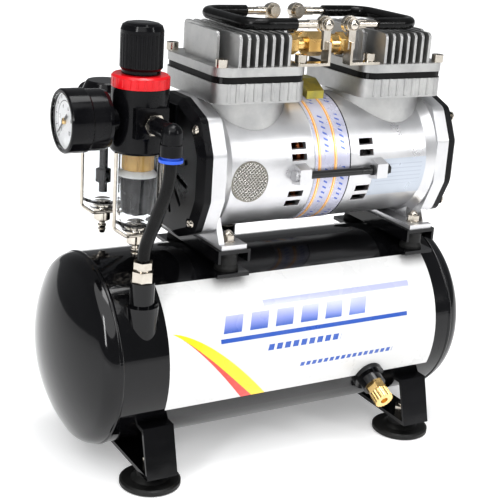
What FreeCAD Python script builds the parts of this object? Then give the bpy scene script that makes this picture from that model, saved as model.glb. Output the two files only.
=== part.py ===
import FreeCAD, Part
import math
import os

os.makedirs("parts", exist_ok=True)

Vector = FreeCAD.Vector

# Twin-cylinder airbrush compressor on a horizontal air tank, in millimetres.
# Origin: on the floor, under the middle of the tank. +X runs along the tank to
# the compressor's right, -Y is the front with the label, +Z is up.

# ---- driving dimensions -------------------------------------------------
tank_radius = 62.5
tank_half_length = 125.0
tank_axis_z = 77.0
tank_wall = 2.5
dome_depth = 27.0

leg_x = 99.0
leg_width = 21.0
leg_thickness = 2.5
leg_foot_y = 70.0
leg_shoulder_y = 61.0
leg_shoulder_z = 43.5
foot_y = 52.0
foot_radius = 19.7

motor_x = 28.0
motor_axis_z = 195.5
motor_radius = 42.6
motor_wall = 3.6
motor_end_x = 90.5
flange_depth = 9.5
band_half_width = 14.5
band_radius = 43.0
cover_depth = 9.0

mount_x = (-43.0, 104.0)
mount_y = 35.0
isolator_bottom_z = 133.0
isolator_height = 13.0
isolator_radius = 7.2
bar_thickness = 2.5

cylinder_pitch = 108.0
head_half_x = 32.5
head_half_y = 39.0
head_corner = 10.0
flange_bottom_z = 240.0
flange_top_z = 252.5
valve_plate_top_z = 256.7
head_plate_top_z = 262.3
fin_top_z = 282.0
cylinder_bore = 16.0
piston_stroke = 10.0
head_bolt_x = 28.0
head_bolt_y = 34.0

handle_pivot_x = 9.5
handle_pivot_y = 32.0
handle_pivot_z = 287.5
handle_length = 54.0
rod_radius = 2.5
grip_radius = 3.8

unit_x = -101.0
regulator_y = -21.0
filter_y = 32.0
unit_radius = 17.5
unit_bottom_z = 211.0
unit_top_z = 250.0
port_z = 231.0
bowl_radius = 14.3
bowl_bottom_z = 161.0
gauge_face_x = -150.5
gauge_radius = 19.0

inlet_x = -107.0
inlet_y = -47.0
drain_x = 62.0
drain_angle = 25.0
hose_radius = 4.0

bar_top_z = isolator_bottom_z + isolator_height + bar_thickness
left_head_x = motor_x - cylinder_pitch / 2
right_head_x = motor_x + cylinder_pitch / 2
head_xs = (left_head_x, right_head_x)


# ---- shape helpers ------------------------------------------------------
def vec(x, y, z):
    return Vector(x, y, z)


def block(x0, x1, y0, y1, z0, z1):
    return Part.makeBox(x1 - x0, y1 - y0, z1 - z0, vec(x0, y0, z0))


def rod(start, end, radius):
    axis = end - start
    return Part.makeCylinder(radius, axis.Length, start, axis)


def tube(start, end, outer, inner):
    return rod(start, end, outer).cut(rod(start, end, inner))


def join(shapes):
    whole = shapes[0]
    for shape in shapes[1:]:
        whole = whole.fuse(shape)
    return whole.removeSplitter()


def group(shapes):
    return Part.makeCompound(shapes)


def save(name, shape):
    solids = shape.Solids
    for solid in solids:
        if not solid.isValid():
            print("not valid:", name)
    if len(solids) == 1:
        solids[0].exportStep("parts/" + name + ".step")
    else:
        group(solids).exportStep("parts/" + name + ".step")
    box = shape.BoundBox
    text = "%-22s %2d solids  x %7.1f %7.1f  y %7.1f %7.1f  z %7.1f %7.1f"
    print(text % (name, len(solids), box.XMin, box.XMax, box.YMin, box.YMax, box.ZMin, box.ZMax))


def turned(profile, base, axis):
    """Solid of revolution: profile is (radius, distance along the axis) pairs."""
    points = [vec(r, 0, h) for r, h in profile]
    face = Part.Face(Part.makePolygon(points + [points[0]]))
    solid = face.revolve(vec(0, 0, 0), vec(0, 0, 1), 360)
    turn = FreeCAD.Rotation(vec(0, 0, 1), axis)
    solid.Placement = FreeCAD.Placement(base, turn)
    return solid


def rounded_wire(corners, radius):
    """Closed outline in the XY plane with one arc of the same radius at each corner."""
    edges = []
    ends = []
    count = len(corners)
    for i in range(count):
        here = corners[i]
        to_last = (corners[i - 1] - here).normalize()
        to_next = (corners[(i + 1) % count] - here).normalize()
        half = to_last.getAngle(to_next) / 2
        back = radius / math.tan(half)
        middle = (to_last + to_next).normalize()
        centre = here + middle * (radius / math.sin(half))
        first = here + to_last * back
        last = here + to_next * back
        ends.append((first, centre - middle * radius, last))
    for i in range(count):
        first, mid, last = ends[i]
        edges.append(Part.Arc(first, mid, last).toShape())
        following = ends[(i + 1) % count][0]
        if (following - last).Length > 0.001:
            edges.append(Part.LineSegment(last, following).toShape())
    return Part.Wire(edges)


def rounded_prism(corners, radius, height):
    return Part.Face(rounded_wire(corners, radius)).extrude(vec(0, 0, height))


def stand_along_x(shape, x, axis_z):
    """Takes a prism drawn in XY to one that runs along +X: drawn X becomes Y, drawn Y becomes Z."""
    turn = FreeCAD.Rotation(vec(1, 1, 1), 120)
    shape.Placement = FreeCAD.Placement(vec(x, 0, axis_z), turn)
    return shape


def bent_wire(points, radii):
    """Open path of straight runs joined by tangent arcs, one radius per inner point."""
    edges = []
    start = points[0]
    for i in range(1, len(points) - 1):
        here = points[i]
        to_last = (points[i - 1] - here).normalize()
        to_next = (points[i + 1] - here).normalize()
        half = to_last.getAngle(to_next) / 2
        radius = radii[i - 1]
        back = radius / math.tan(half)
        middle = (to_last + to_next).normalize()
        first = here + to_last * back
        last = here + to_next * back
        mid = here + middle * (radius / math.sin(half) - radius)
        edges.append(Part.LineSegment(start, first).toShape())
        edges.append(Part.Arc(first, mid, last).toShape())
        start = last
    edges.append(Part.LineSegment(start, points[-1]).toShape())
    return Part.Wire(edges)


def swept(wire, points, radius):
    circle = Part.makeCircle(radius, points[0], points[1] - points[0])
    return wire.makePipeShell([Part.Wire([circle])], True, True)


def widest_radii(points, share=0.45):
    radii = []
    for i in range(1, len(points) - 1):
        run_in = points[i] - points[i - 1]
        run_out = points[i + 1] - points[i]
        turn = run_in.getAngle(run_out)
        radii.append(share * min(run_in.Length, run_out.Length) / math.tan(turn / 2))
    return radii


def hex_prism(across, height, base, axis):
    size = across / math.sqrt(3)
    points = [vec(size * math.cos(math.radians(60 * i)), size * math.sin(math.radians(60 * i)), 0) for i in range(6)]
    prism = Part.Face(Part.makePolygon(points + [points[0]])).extrude(vec(0, 0, height))
    prism.Placement = FreeCAD.Placement(base, FreeCAD.Rotation(vec(0, 0, 1), axis))
    return prism


def half_turned(shape):
    """The same shape turned half round about the vertical through the middle of the motor."""
    copy = shape.copy()
    copy.rotate(vec(motor_x, 0, 0), vec(0, 0, 1), 180)
    return copy


# ---- tank, legs and feet ------------------------------------------------
def tank_cylinder(radius):
    half = tank_half_length + dome_depth
    return rod(vec(-half, 0, tank_axis_z), vec(half, 0, tank_axis_z), radius)


drain_way = vec(0, -math.cos(math.radians(drain_angle)), -math.sin(math.radians(drain_angle)))
tank_centre = vec(0, 0, tank_axis_z)
discharge_x = 2.0
discharge_y = 50.0
inlet_top_z = 136.0
discharge_top_z = 134.0


def drain_point(distance):
    return vec(drain_x, 0, tank_axis_z) + drain_way * distance


def make_tank_shell():
    left = vec(-tank_half_length, 0, tank_axis_z)
    right = vec(tank_half_length, 0, tank_axis_z)
    shell = rod(left, right, tank_radius)
    additions = []
    for x, y, top in ((inlet_x, inlet_y, inlet_top_z), (discharge_x, discharge_y, discharge_top_z)):
        foot_z = tank_axis_z + math.sqrt(tank_radius ** 2 - y ** 2)
        additions.append(rod(vec(x, y, 100), vec(x, y, top), 7.6))
        additions.append(rod(vec(x, y, 100), vec(x, y, foot_z + 3.0), 10.5))
    additions.append(rod(drain_point(50), drain_point(73), 8.2))
    additions.append(rod(drain_point(50), drain_point(65.5), 11.0))
    for x in mount_x:
        for side in (-1, 1):
            low = min(side * 25, side * 45)
            web = min(side * 26, side * 37)
            additions.append(block(x - 11.5, x + 11.5, low, low + 20, isolator_bottom_z - 2.5, isolator_bottom_z))
            additions.append(block(x - 8, x + 8, web, web + 11, 118, isolator_bottom_z - 1))
    for addition in additions:
        shell = shell.fuse(addition)
    shell = shell.cut(rod(left, right, tank_radius - tank_wall))
    shell = shell.cut(rod(vec(inlet_x, inlet_y, 95), vec(inlet_x, inlet_y, 140), 4.1))
    shell = shell.cut(rod(vec(discharge_x, discharge_y, 95), vec(discharge_x, discharge_y, 140), 4.1))
    shell = shell.cut(rod(drain_point(40), drain_point(80), 4.5))
    return shell.removeSplitter()


def dish_solid(radius, depth, knuckle):
    """Dished cap about +Z: a small knuckle arc at the rim runs into a wide crown arc."""
    inset = radius - knuckle
    crown = (inset ** 2 + depth ** 2 - knuckle ** 2) / (2 * (depth - knuckle))
    crown_z = depth - crown
    reach = math.hypot(inset, crown_z)
    meet = vec(inset + knuckle * inset / reach, 0, -knuckle * crown_z / reach)
    half = math.atan2(meet.z, meet.x - inset) / 2
    knuckle_mid = vec(inset + knuckle * math.cos(half), 0, knuckle * math.sin(half))
    lean = math.atan2(meet.x, meet.z - crown_z) / 2
    crown_mid = vec(crown * math.sin(lean), 0, crown_z + crown * math.cos(lean))
    edges = [Part.Arc(vec(radius, 0, 0), knuckle_mid, meet).toShape()]
    edges.append(Part.Arc(meet, crown_mid, vec(0, 0, depth)).toShape())
    edges.append(Part.LineSegment(vec(0, 0, depth), vec(0, 0, 0)).toShape())
    edges.append(Part.LineSegment(vec(0, 0, 0), vec(radius, 0, 0)).toShape())
    return Part.Face(Part.Wire(edges)).revolve(vec(0, 0, 0), vec(0, 0, 1), 360)


def make_tank_ends():
    """Dished ends that meet the shell at the weld seams."""
    outer = dish_solid(tank_radius, dome_depth, 13.0)
    inner = dish_solid(tank_radius - tank_wall, dome_depth - tank_wall, 13.0 - tank_wall)
    dish = outer.cut(inner)
    ends = []
    for side in (-1, 1):
        end = dish.copy()
        turn = FreeCAD.Rotation(vec(0, 0, 1), vec(side, 0, 0))
        end.Placement = FreeCAD.Placement(vec(side * tank_half_length, 0, tank_axis_z), turn)
        ends.append(end)
    return group(ends)


def make_leg_straps():
    """One bent strap under each end of the tank: a flat bar below, two ears that lean in to the tank."""
    t = leg_thickness
    bar_low = tank_axis_z - tank_radius - 0.1 - t
    slant = math.hypot(leg_foot_y - leg_shoulder_y, leg_shoulder_z - bar_low)
    sink = t * slant / (leg_shoulder_z - bar_low)
    inner_foot = leg_foot_y - sink
    inner_shoulder = leg_shoulder_y - sink
    right = [(leg_foot_y, bar_low), (leg_shoulder_y, leg_shoulder_z), (45, leg_shoulder_z)]
    right += [(45, leg_shoulder_z - t), (inner_shoulder + 0.7, leg_shoulder_z - t), (inner_foot, bar_low + t)]
    left = [(-y, z) for y, z in reversed(right)]
    straps = []
    for side in (-1, 1):
        x0 = side * leg_x - leg_width / 2
        points = [vec(x0, y, z) for y, z in right + left]
        strap = Part.Face(Part.makePolygon(points + [points[0]])).extrude(vec(leg_width, 0, 0))
        strap = strap.cut(tank_cylinder(tank_radius + 0.05))
        for y in (-foot_y, foot_y):
            strap = strap.cut(rod(vec(side * leg_x, y, 0), vec(side * leg_x, y, 20), 3.2))
        straps.append(strap)
    return group(straps)


def make_feet():
    pads = []
    screws = []
    neck_top = tank_axis_z - tank_radius - 0.1 - leg_thickness
    for side in (-1, 1):
        for y in (-foot_y, foot_y):
            base = vec(side * leg_x, y, 0)
            profile = [(0, 1.2), (12, 1.0), (14, 0), (18.6, 0), (foot_radius, 0.8), (foot_radius, 3.2), (foot_radius - 1.4, 4.2)]
            profile += [(12.5, 4.4), (9.0, 7.0), (8.6, neck_top), (3.05, neck_top), (3.05, 6.0), (0, 6.0)]
            pads.append(turned(profile, base, vec(0, 0, 1)))
            screw = rod(base + vec(0, 0, 6.2), base + vec(0, 0, 20.5), 3.0)
            nut = hex_prism(9.5, 4.5, base + vec(0, 0, neck_top + leg_thickness), vec(0, 0, 1))
            screws.append(screw.fuse(nut).removeSplitter())
    return group(pads), screws


# ---- motor mounting -----------------------------------------------------
def make_isolators():
    parts = []
    for x in mount_x:
        for y in (-mount_y, mount_y):
            r = isolator_radius
            h = isolator_height
            profile = [(0, 0), (r + 0.5, 0), (r + 0.5, 2), (r - 0.4, 4), (r - 0.4, h - 4), (r + 0.5, h - 2), (r + 0.5, h), (0, h)]
            parts.append(turned(profile, vec(x, y, isolator_bottom_z), vec(0, 0, 1)))
    return group(parts)


def make_mount_bars():
    """Channel along Y over each pair of rubber mounts, open side down."""
    parts = []
    low = bar_top_z - bar_thickness
    for x in mount_x:
        bar = block(x - 11.5, x + 11.5, -45, 45, low, bar_top_z)
        for edge_x in (x - 11.5, x + 9.7):
            bar = bar.fuse(block(edge_x, edge_x + 1.8, -45, 45, low - 6, bar_top_z))
        for side in (-1, 1):
            bar = bar.cut(rod(vec(x, side * mount_y, low - 1), vec(x, side * mount_y, bar_top_z + 1), 2.6))
        parts.append(bar.removeSplitter())
    return group(parts)


foot_plate_thickness = 3.0
foot_plate_top_z = bar_top_z + foot_plate_thickness


def make_mount_nuts():
    """Stud, washer and domed nut on each rubber mount."""
    parts = []
    low = isolator_bottom_z + isolator_height
    for x in mount_x:
        for y in (-mount_y, mount_y):
            stud = rod(vec(x, y, low), vec(x, y, foot_plate_top_z + 5), 2.5)
            washer = rod(vec(x, y, foot_plate_top_z), vec(x, y, foot_plate_top_z + 0.8), 4.6)
            nut = hex_prism(7.6, 3.8, vec(x, y, foot_plate_top_z + 0.8), vec(0, 0, 1))
            dome_base = foot_plate_top_z + 4.6
            dome = Part.makeSphere(3.1, vec(x, y, dome_base)).common(block(x - 4, x + 4, y - 4, y + 4, dome_base, dome_base + 4))
            parts.append(join([stud, washer, nut, dome]))
    return parts


# ---- motor and crankcase ------------------------------------------------
def end_outline(inset):
    """Crankcase end outline about the shaft, with flattened corners, wider towards the top."""
    half = [(12, 44.5), (36, 36), (46, 15), (46, -14), (36, -36), (14, -45)]
    points = half + [(-y, z) for y, z in reversed(half)]
    scale = 1 - inset / 45
    return [vec(y * scale, z * scale, 0) for y, z in points]


def end_prism(x0, x1, inset=0.0, radius=7.0):
    prism = rounded_prism(end_outline(inset), radius, x1 - x0)
    return stand_along_x(prism, x0, motor_axis_z)


def motor_rod(x0, x1, radius):
    return rod(vec(x0, 0, motor_axis_z), vec(x1, 0, motor_axis_z), radius)


lug_z = motor_axis_z - 1.5
lug_y = motor_radius + 3.4
left_lug_x = motor_x - 30.0
right_lug_x = motor_x + 29.5
lug_width = 8.5
bearing_wall_x = motor_end_x - 17.0
bearing_width = 7.0
bearing_radius = 11.0
shaft_radius = 5.0
screen_x = motor_x - 61.8
screen_z = 191.6
screen_radius = 13.2
screen_face_y = -39.0
cover_screw_places = ((-35.5, 29.5), (35.5, 29.5), (-34.5, -30.0), (34.5, -30.0))


foot_half_x = 9.0
foot_half_y = 44.0
web_half_y = 25.0
rib_thickness = 4.0
lug_reach = 50.5
lug_root_y = 38.0
slot_heights = (16.5, 9.5, -15.0, -22.0)


def make_housing(lug_x, plate_x):
    """Left crankcase half: lug_x is where its tie-bolt lugs start, plate_x the middle of its foot."""
    x_end = motor_x - motor_end_x
    x_band = motor_x - band_half_width
    inner = motor_radius - motor_wall
    body = motor_rod(x_end, x_band, motor_radius)
    body = body.fuse(end_prism(x_end, x_end + flange_depth))
    neck = turned([(0, 0), (46.5, 0), (motor_radius - 0.2, 7), (0, 7)], vec(x_end + flange_depth - 0.5, 0, motor_axis_z), vec(1, 0, 0))
    body = body.fuse(neck.common(end_prism(x_end, x_end + 30)))
    plate_bottom = bar_top_z
    rib_x = plate_x - foot_half_x
    foot = block(rib_x, plate_x + foot_half_x, -foot_half_y, foot_half_y, plate_bottom, foot_plate_top_z)
    web = block(rib_x, plate_x - 1, -web_half_y, web_half_y, plate_bottom, motor_axis_z - 20)
    body = body.fuse(foot).fuse(web)
    for side in (-1, 1):
        rib_points = [vec(rib_x, side * web_half_y, foot_plate_top_z), vec(rib_x, side * 40, foot_plate_top_z)]
        rib_points += [vec(rib_x, side * 31, 170), vec(rib_x, side * 20, 170)]
        rib = Part.Face(Part.makePolygon(rib_points + [rib_points[0]])).extrude(vec(rib_thickness, 0, 0))
        body = body.fuse(rib)
        lug_points = [vec(lug_x, side * lug_root_y, lug_z + 8.5), vec(lug_x, side * lug_reach, lug_z + 4.8)]
        lug_points += [vec(lug_x, side * lug_reach, lug_z - 4.8), vec(lug_x, side * lug_root_y, lug_z - 7)]
        lug = Part.Face(Part.makePolygon(lug_points + [lug_points[0]])).extrude(vec(lug_width, 0, 0))
        body = body.fuse(lug)
        body = body.cut(rod(vec(plate_x, side * mount_y, plate_bottom - 1), vec(plate_x, side * mount_y, plate_bottom + 9), 2.6))
    pocket_wall = rod(vec(screen_x, -30, screen_z), vec(screen_x, -41, screen_z), screen_radius + 2.6)
    pocket_wall = pocket_wall.common(motor_rod(x_end, x_band, motor_radius))
    body = body.cut(motor_rod(x_end - 1, x_end + 15, inner))
    body = body.cut(motor_rod(x_end + 19, x_band + 1, inner))
    body = body.cut(motor_rod(x_end - 1, x_band, shaft_radius + 1.0))
    hub = motor_rod(x_end + 13, x_end + 22, bearing_radius + 3)
    body = body.fuse(hub).fuse(pocket_wall)
    body = body.cut(motor_rod(x_end + 12, x_end + 23, shaft_radius + 1.0))
    body = body.cut(motor_rod(x_end + 14.5, x_end + 23, bearing_radius))
    body = body.cut(rod(vec(left_head_x, 0, motor_axis_z + 15), vec(left_head_x, 0, 260), 19.6))
    for y, z in cover_screw_places:
        body = body.cut(rod(vec(x_end - 1, y, motor_axis_z + z), vec(x_end + 8, y, motor_axis_z + z), 1.6))
    body = body.cut(rod(vec(screen_x, -60, screen_z), vec(screen_x, screen_face_y, screen_z), screen_radius))
    body = body.cut(rod(vec(screen_x, -60, screen_z), vec(screen_x, -25, screen_z), 5.0))
    for side in (-1, 1):
        body = body.cut(rod(vec(lug_x - 1, side * lug_y, lug_z), vec(lug_x + lug_width + 1, side * lug_y, lug_z), 2.55))
        for height in slot_heights:
            z = motor_axis_z + height
            low = min(side * 30, side * 50)
            slot = block(motor_x - 31.5, motor_x - 20.5, low, low + 20, z - 2.1, z + 2.1)
            body = body.cut(slot)
    return body.removeSplitter()


def make_covers():
    """End covers: a stepped cap with radial air slots round a plain middle."""
    x0 = motor_x - motor_end_x
    bevel = 4.2
    outlines = []
    for depth, inset in ((cover_depth - bevel, 0.0), (cover_depth, bevel)):
        outline = rounded_wire(end_outline(inset), 7.0 * (1 - inset / 45))
        outlines.append(stand_along_x(outline, x0 - depth, motor_axis_z))
    cap = Part.makeLoft(outlines, True, True)
    outer = end_prism(x0 - cover_depth + bevel, x0).fuse(cap).removeSplitter()
    cover = outer
    cover = cover.cut(end_prism(x0 - cover_depth + 2.6, x0 + 1, 3.4))
    for place in cover_screw_places:
        y, z = place
        boss = rod(vec(x0 - cover_depth + 1, y, motor_axis_z + z), vec(x0, y, motor_axis_z + z), 4.2)
        cover = cover.fuse(boss.common(outer))
    for place in cover_screw_places:
        y, z = place
        cover = cover.cut(rod(vec(x0 - 20, y, motor_axis_z + z), vec(x0 + 1, y, motor_axis_z + z), 1.8))
        cover = cover.cut(rod(vec(x0 - 20, y, motor_axis_z + z), vec(x0 - cover_depth + 2.0, y, motor_axis_z + z), 3.3))
    for i in range(12):
        slot = block(x0 - 20, x0 - 3, -1.6, 1.6, 14, 31)
        slot.translate(vec(0, 0, motor_axis_z))
        slot.rotate(vec(0, 0, motor_axis_z), vec(1, 0, 0), 30 * i + 15)
        cover = cover.cut(slot)
    cover = cover.removeSplitter()
    return group([cover, half_turned(cover)])


def make_cover_screws():
    screws = []
    x0 = motor_x - motor_end_x
    for y, z in cover_screw_places:
        head_x = x0 - cover_depth + 2.0
        head = turned([(0, 0), (3.0, 0), (3.0, 1.0), (2.0, 2.1), (0, 2.4)], vec(head_x, y, motor_axis_z + z), vec(-1, 0, 0))
        shank = rod(vec(head_x, y, motor_axis_z + z), vec(x0 + 7, y, motor_axis_z + z), 1.55)
        cross = block(head_x - 3, head_x - 1.4, y - 1.8, y + 1.8, motor_axis_z + z - 0.35, motor_axis_z + z + 0.35)
        cross = cross.fuse(block(head_x - 3, head_x - 1.4, y - 0.35, y + 0.35, motor_axis_z + z - 1.8, motor_axis_z + z + 1.8))
        screw = head.fuse(shank).cut(cross)
        screws.append(screw.removeSplitter())
        screws.append(half_turned(screws[-1]))
    return group(screws)


def make_tie_bolts():
    parts = []
    for side in (-1, 1):
        y = side * lug_y
        right_end = right_lug_x + lug_width
        shank = rod(vec(left_lug_x, y, lug_z), vec(right_end + 1, y, lug_z), 2.5)
        head = rod(vec(left_lug_x - 2.4, y, lug_z), vec(left_lug_x, y, lug_z), 3.6)
        collar = rod(vec(right_lug_x - 1.5, y, lug_z), vec(right_lug_x, y, lug_z), 3.4)
        nut = hex_prism(6.4, 3.6, vec(right_end, y, lug_z), vec(1, 0, 0))
        parts.append(join([shank, head, collar, nut]))
    return group(parts)


def make_screens():
    """Round air intake screen in its pressed ring, one on each crankcase half."""
    ring = tube(vec(screen_x, screen_face_y, screen_z), vec(screen_x, screen_face_y - 3.2, screen_z), screen_radius - 0.1, screen_radius - 1.7)
    gauze = rod(vec(screen_x, screen_face_y, screen_z), vec(screen_x, screen_face_y - 1.6, screen_z), screen_radius - 1.7)
    parts = [ring, gauze]
    return group(parts + [half_turned(part) for part in parts])


def make_stator():
    low = motor_x - band_half_width
    high = motor_x + band_half_width
    core = motor_rod(low, high, band_radius).cut(motor_rod(low, high, 24.0))
    for i in range(8):
        slot = block(low, high, -3.0, 3.0, 26.0, 33.0)
        slot.translate(vec(0, 0, motor_axis_z))
        slot.rotate(vec(0, 0, motor_axis_z), vec(1, 0, 0), 45 * i)
        core = core.cut(slot)
    windings = []
    for x0 in (low - 8.5, high + 0.5):
        coil = Part.makeTorus(30.0, 4.0, vec(x0 + 4, 0, motor_axis_z), vec(1, 0, 0))
        windings.append(coil)
    return core.removeSplitter(), group(windings)


def make_bearings():
    parts = []
    x_end = motor_x - motor_end_x
    ring = tube(vec(x_end + 14.5, 0, motor_axis_z), vec(x_end + 21.5, 0, motor_axis_z), bearing_radius, shaft_radius)
    parts.append(ring)
    parts.append(half_turned(ring))
    return group(parts)


# ---- crank, rotor and pistons -------------------------------------------
crank_throw = piston_stroke / 2
big_end_radius = 12.5


def make_crankshaft():
    """Shaft with one eccentric and big-end ring under each cylinder, half a turn apart."""
    half = motor_end_x - 1.5
    shaft = motor_rod(motor_x - half, motor_x + half, shaft_radius - 0.02)
    parts = [shaft]
    for x, lift in ((left_head_x, crank_throw), (right_head_x, -crank_throw)):
        centre = motor_axis_z + lift
        parts.append(rod(vec(x - 5, 0, centre), vec(x + 5, 0, centre), big_end_radius))
        weight = rod(vec(x + 6, 0, motor_axis_z - lift * 1.2), vec(x + 10, 0, motor_axis_z - lift * 1.2), 11.5)
        parts.append(weight)
        parts.append(motor_rod(x - 6, x + 6.5, 7.0))
    return join(parts)


def make_rotor_core():
    low = motor_x - band_half_width + 0.5
    high = motor_x + band_half_width - 0.5
    core = motor_rod(low, high, 23.3).cut(motor_rod(low - 1, high + 1, shaft_radius - 0.02))
    return core


def make_fans():
    """Cooling fan behind each end cover: a thin disc with eight straight blades."""
    x0 = motor_x - motor_end_x + 2.0
    hub = motor_rod(x0, x0 + 6, 9.0)
    disc = motor_rod(x0 + 5.0, x0 + 6.2, 34.0)
    parts = [hub, disc]
    for i in range(8):
        blade = block(x0, x0 + 5.5, -0.8, 0.8, 8.0, 33.0)
        blade.translate(vec(0, 0, motor_axis_z))
        blade.rotate(vec(0, 0, motor_axis_z), vec(1, 0, 0), 45 * i)
        parts.append(blade)
    fan = join(parts).cut(motor_rod(x0 - 1, x0 + 8, shaft_radius - 0.02))
    return group([fan, half_turned(fan)])


def make_piston(x):
    """Wobble piston at the top of its stroke: crown with a cup groove and a rod in one piece."""
    top = flange_top_z - 1.5
    profile = [(0, 0), (cylinder_bore - 0.05, 0), (cylinder_bore - 0.05, 2.4), (cylinder_bore - 1.2, 2.4)]
    profile += [(cylinder_bore - 1.2, 3.6), (cylinder_bore - 0.05, 3.6), (cylinder_bore - 0.05, 6.0), (0, 6.0)]
    crown = turned(profile, vec(x, 0, top - 6.0), vec(0, 0, 1))
    stem = block(x - 4, x + 4, -6, 6, motor_axis_z + 30.5, top - 5)
    return join([crown, stem])


# ---- cylinders and heads ------------------------------------------------
def head_outline(inset=0.0):
    a = head_half_x - inset
    b = head_half_y - inset
    return [vec(-a, -b, 0), vec(a, -b, 0), vec(a, b, 0), vec(-a, b, 0)]


def head_prism(x, z0, z1, inset=0.0):
    prism = rounded_prism(head_outline(inset), head_corner, z1 - z0)
    prism.translate(vec(x, 0, z0))
    return prism


def make_cylinder(x, housing):
    """Cylinder casting: fluted top flange, saddle on the crankcase and the liner that reaches into it."""
    flange = head_prism(x, flange_bottom_z, flange_top_z)
    for i in range(9):
        offset = (i - 4) * 6.2
        for side in (-1, 1):
            groove_y = side * (head_half_y + 0.9)
            flange = flange.cut(rod(vec(x + offset, groove_y, flange_bottom_z + 1.4), vec(x + offset, groove_y, flange_top_z + 1), 1.7))
    saddle = rod(vec(x, 0, 205), vec(x, 0, flange_bottom_z), 33.4)
    saddle = saddle.cut(motor_rod(x - 60, x + 60, motor_radius)).cut(housing)
    saddle = saddle.common(block(x - 60, x + 60, -60, 60, 214, 260))
    liner = rod(vec(x, 0, 219), vec(x, 0, flange_top_z), 19.4)
    whole = flange.fuse(saddle).fuse(liner)
    whole = whole.cut(rod(vec(x, 0, 200), vec(x, 0, 260), cylinder_bore))
    for dx in (-head_bolt_x, head_bolt_x):
        for y in (-head_bolt_y, head_bolt_y):
            whole = whole.cut(rod(vec(x + dx, y, 244), vec(x + dx, y, 260), 2.0))
    return whole.removeSplitter()


def make_valve_plate(x):
    plate = head_prism(x, flange_top_z, valve_plate_top_z, 0.8)
    for dx in (-head_bolt_x, head_bolt_x):
        for y in (-head_bolt_y, head_bolt_y):
            plate = plate.cut(rod(vec(x + dx, y, 240), vec(x + dx, y, 270), 2.2))
    for y in (-8, 8):
        plate = plate.cut(rod(vec(x, y, 240), vec(x, y, 270), 3.0))
    return plate


fin_pitch = 5.8
fin_thickness = 2.0
outer_fin_x = 24.2
tee_y = -8.0
tee_z = 271.5
port_boss = 8.0


def make_head(x, inward):
    """Head casting: plate, seven long fins, a short fin outside each of them and the outlet boss."""
    parts = [head_prism(x, valve_plate_top_z, head_plate_top_z)]
    long_fin = 37.5
    short_fin = 21.0
    places = [((i - 3) * fin_pitch, long_fin) for i in range(7)]
    places += [(-outer_fin_x, short_fin), (outer_fin_x, short_fin)]
    for offset, half in places:
        centre = x + offset
        fin = block(centre - fin_thickness / 2, centre + fin_thickness / 2, -half, half, head_plate_top_z - 1, fin_top_z)
        edges = [e for e in fin.Edges if abs(e.BoundBox.XLength - fin_thickness) < 0.01 and e.BoundBox.ZMin > fin_top_z - 0.1]
        parts.append(fin.makeFillet(3.5, edges))
    boss_end = x + inward * (head_half_x - 3.0)
    low = min(x, boss_end)
    high = max(x, boss_end)
    boss = block(low, high, tee_y - port_boss, tee_y + port_boss, head_plate_top_z - 1, tee_z + port_boss)
    parts.append(boss)
    head = join(parts)
    head = head.cut(rod(vec(x, tee_y, tee_z), vec(boss_end + inward, tee_y, tee_z), 3.4))
    head = head.cut(rod(vec(x, tee_y, tee_z), vec(x, tee_y, valve_plate_top_z - 1), 3.0))
    for dx in (-head_bolt_x, head_bolt_x):
        for y in (-head_bolt_y, head_bolt_y):
            head = head.cut(rod(vec(x + dx, y, 240), vec(x + dx, y, 270), 2.2))
    return head.removeSplitter()


strap_foot = 1.8


def make_head_bolts():
    """Socket-head bolts; the four beside the handles also clamp a handle strap."""
    bolts = []
    for x, inward in ((left_head_x, 1), (right_head_x, -1)):
        for side in (-1, 1):
            for y in (-head_bolt_y, head_bolt_y):
                lift = strap_foot if side == inward else 0.0
                seat = head_plate_top_z + lift
                place = vec(x + side * head_bolt_x, y, seat)
                head = rod(place, place + vec(0, 0, 5.0), 3.9)
                socket = hex_prism(4.0, 3.0, place + vec(0, 0, 2.6), vec(0, 0, 1))
                shank = rod(place + vec(0, 0, 245 - seat), place, 1.95)
                bolts.append(head.fuse(shank).cut(socket).removeSplitter())
    return group(bolts)


def make_transfer_tube():
    """Brass tee between the heads, with a hex at each boss and its third leg to the rear."""
    x0 = left_head_x + head_half_x - 3.0
    x1 = right_head_x - head_half_x + 3.0
    parts = [rod(vec(x0, tee_y, tee_z), vec(x1, tee_y, tee_z), 4.4)]
    parts.append(hex_prism(12.0, 6.0, vec(x0 + 3.0, tee_y, tee_z), vec(1, 0, 0)))
    parts.append(hex_prism(14.0, 13.0, vec(motor_x - 8.5, tee_y, tee_z), vec(1, 0, 0)))
    parts.append(rod(vec(motor_x + 10, tee_y, tee_z), vec(motor_x + 16.5, tee_y, tee_z), 6.3))
    parts.append(hex_prism(13.0, 5.5, vec(motor_x + 16.5, tee_y, tee_z), vec(1, 0, 0)))
    parts.append(rod(vec(motor_x, tee_y, tee_z), vec(motor_x, tee_y + 14, tee_z), 4.6))
    parts.append(hex_prism(11.0, 7.0, vec(motor_x, tee_y + 13, tee_z), vec(0, 1, 0)))
    tee = join(parts)
    tee = tee.cut(rod(vec(x0 - 1, tee_y, tee_z), vec(x1 + 1, tee_y, tee_z), 2.6))
    tee = tee.cut(rod(vec(motor_x, tee_y, tee_z), vec(motor_x, tee_y + 25, tee_z), 2.2))
    return tee


# ---- handles ------------------------------------------------------------
def bail_points(pivot_x, direction, start):
    """Corners of a bail's centre line, from one arm round to the other."""
    near = pivot_x - direction * start
    far = pivot_x - direction * handle_length
    z = handle_pivot_z
    front = -handle_pivot_y
    rear = handle_pivot_y
    return [vec(near, front, z), vec(far, front, z), vec(far, rear, z), vec(near, rear, z)]


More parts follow.
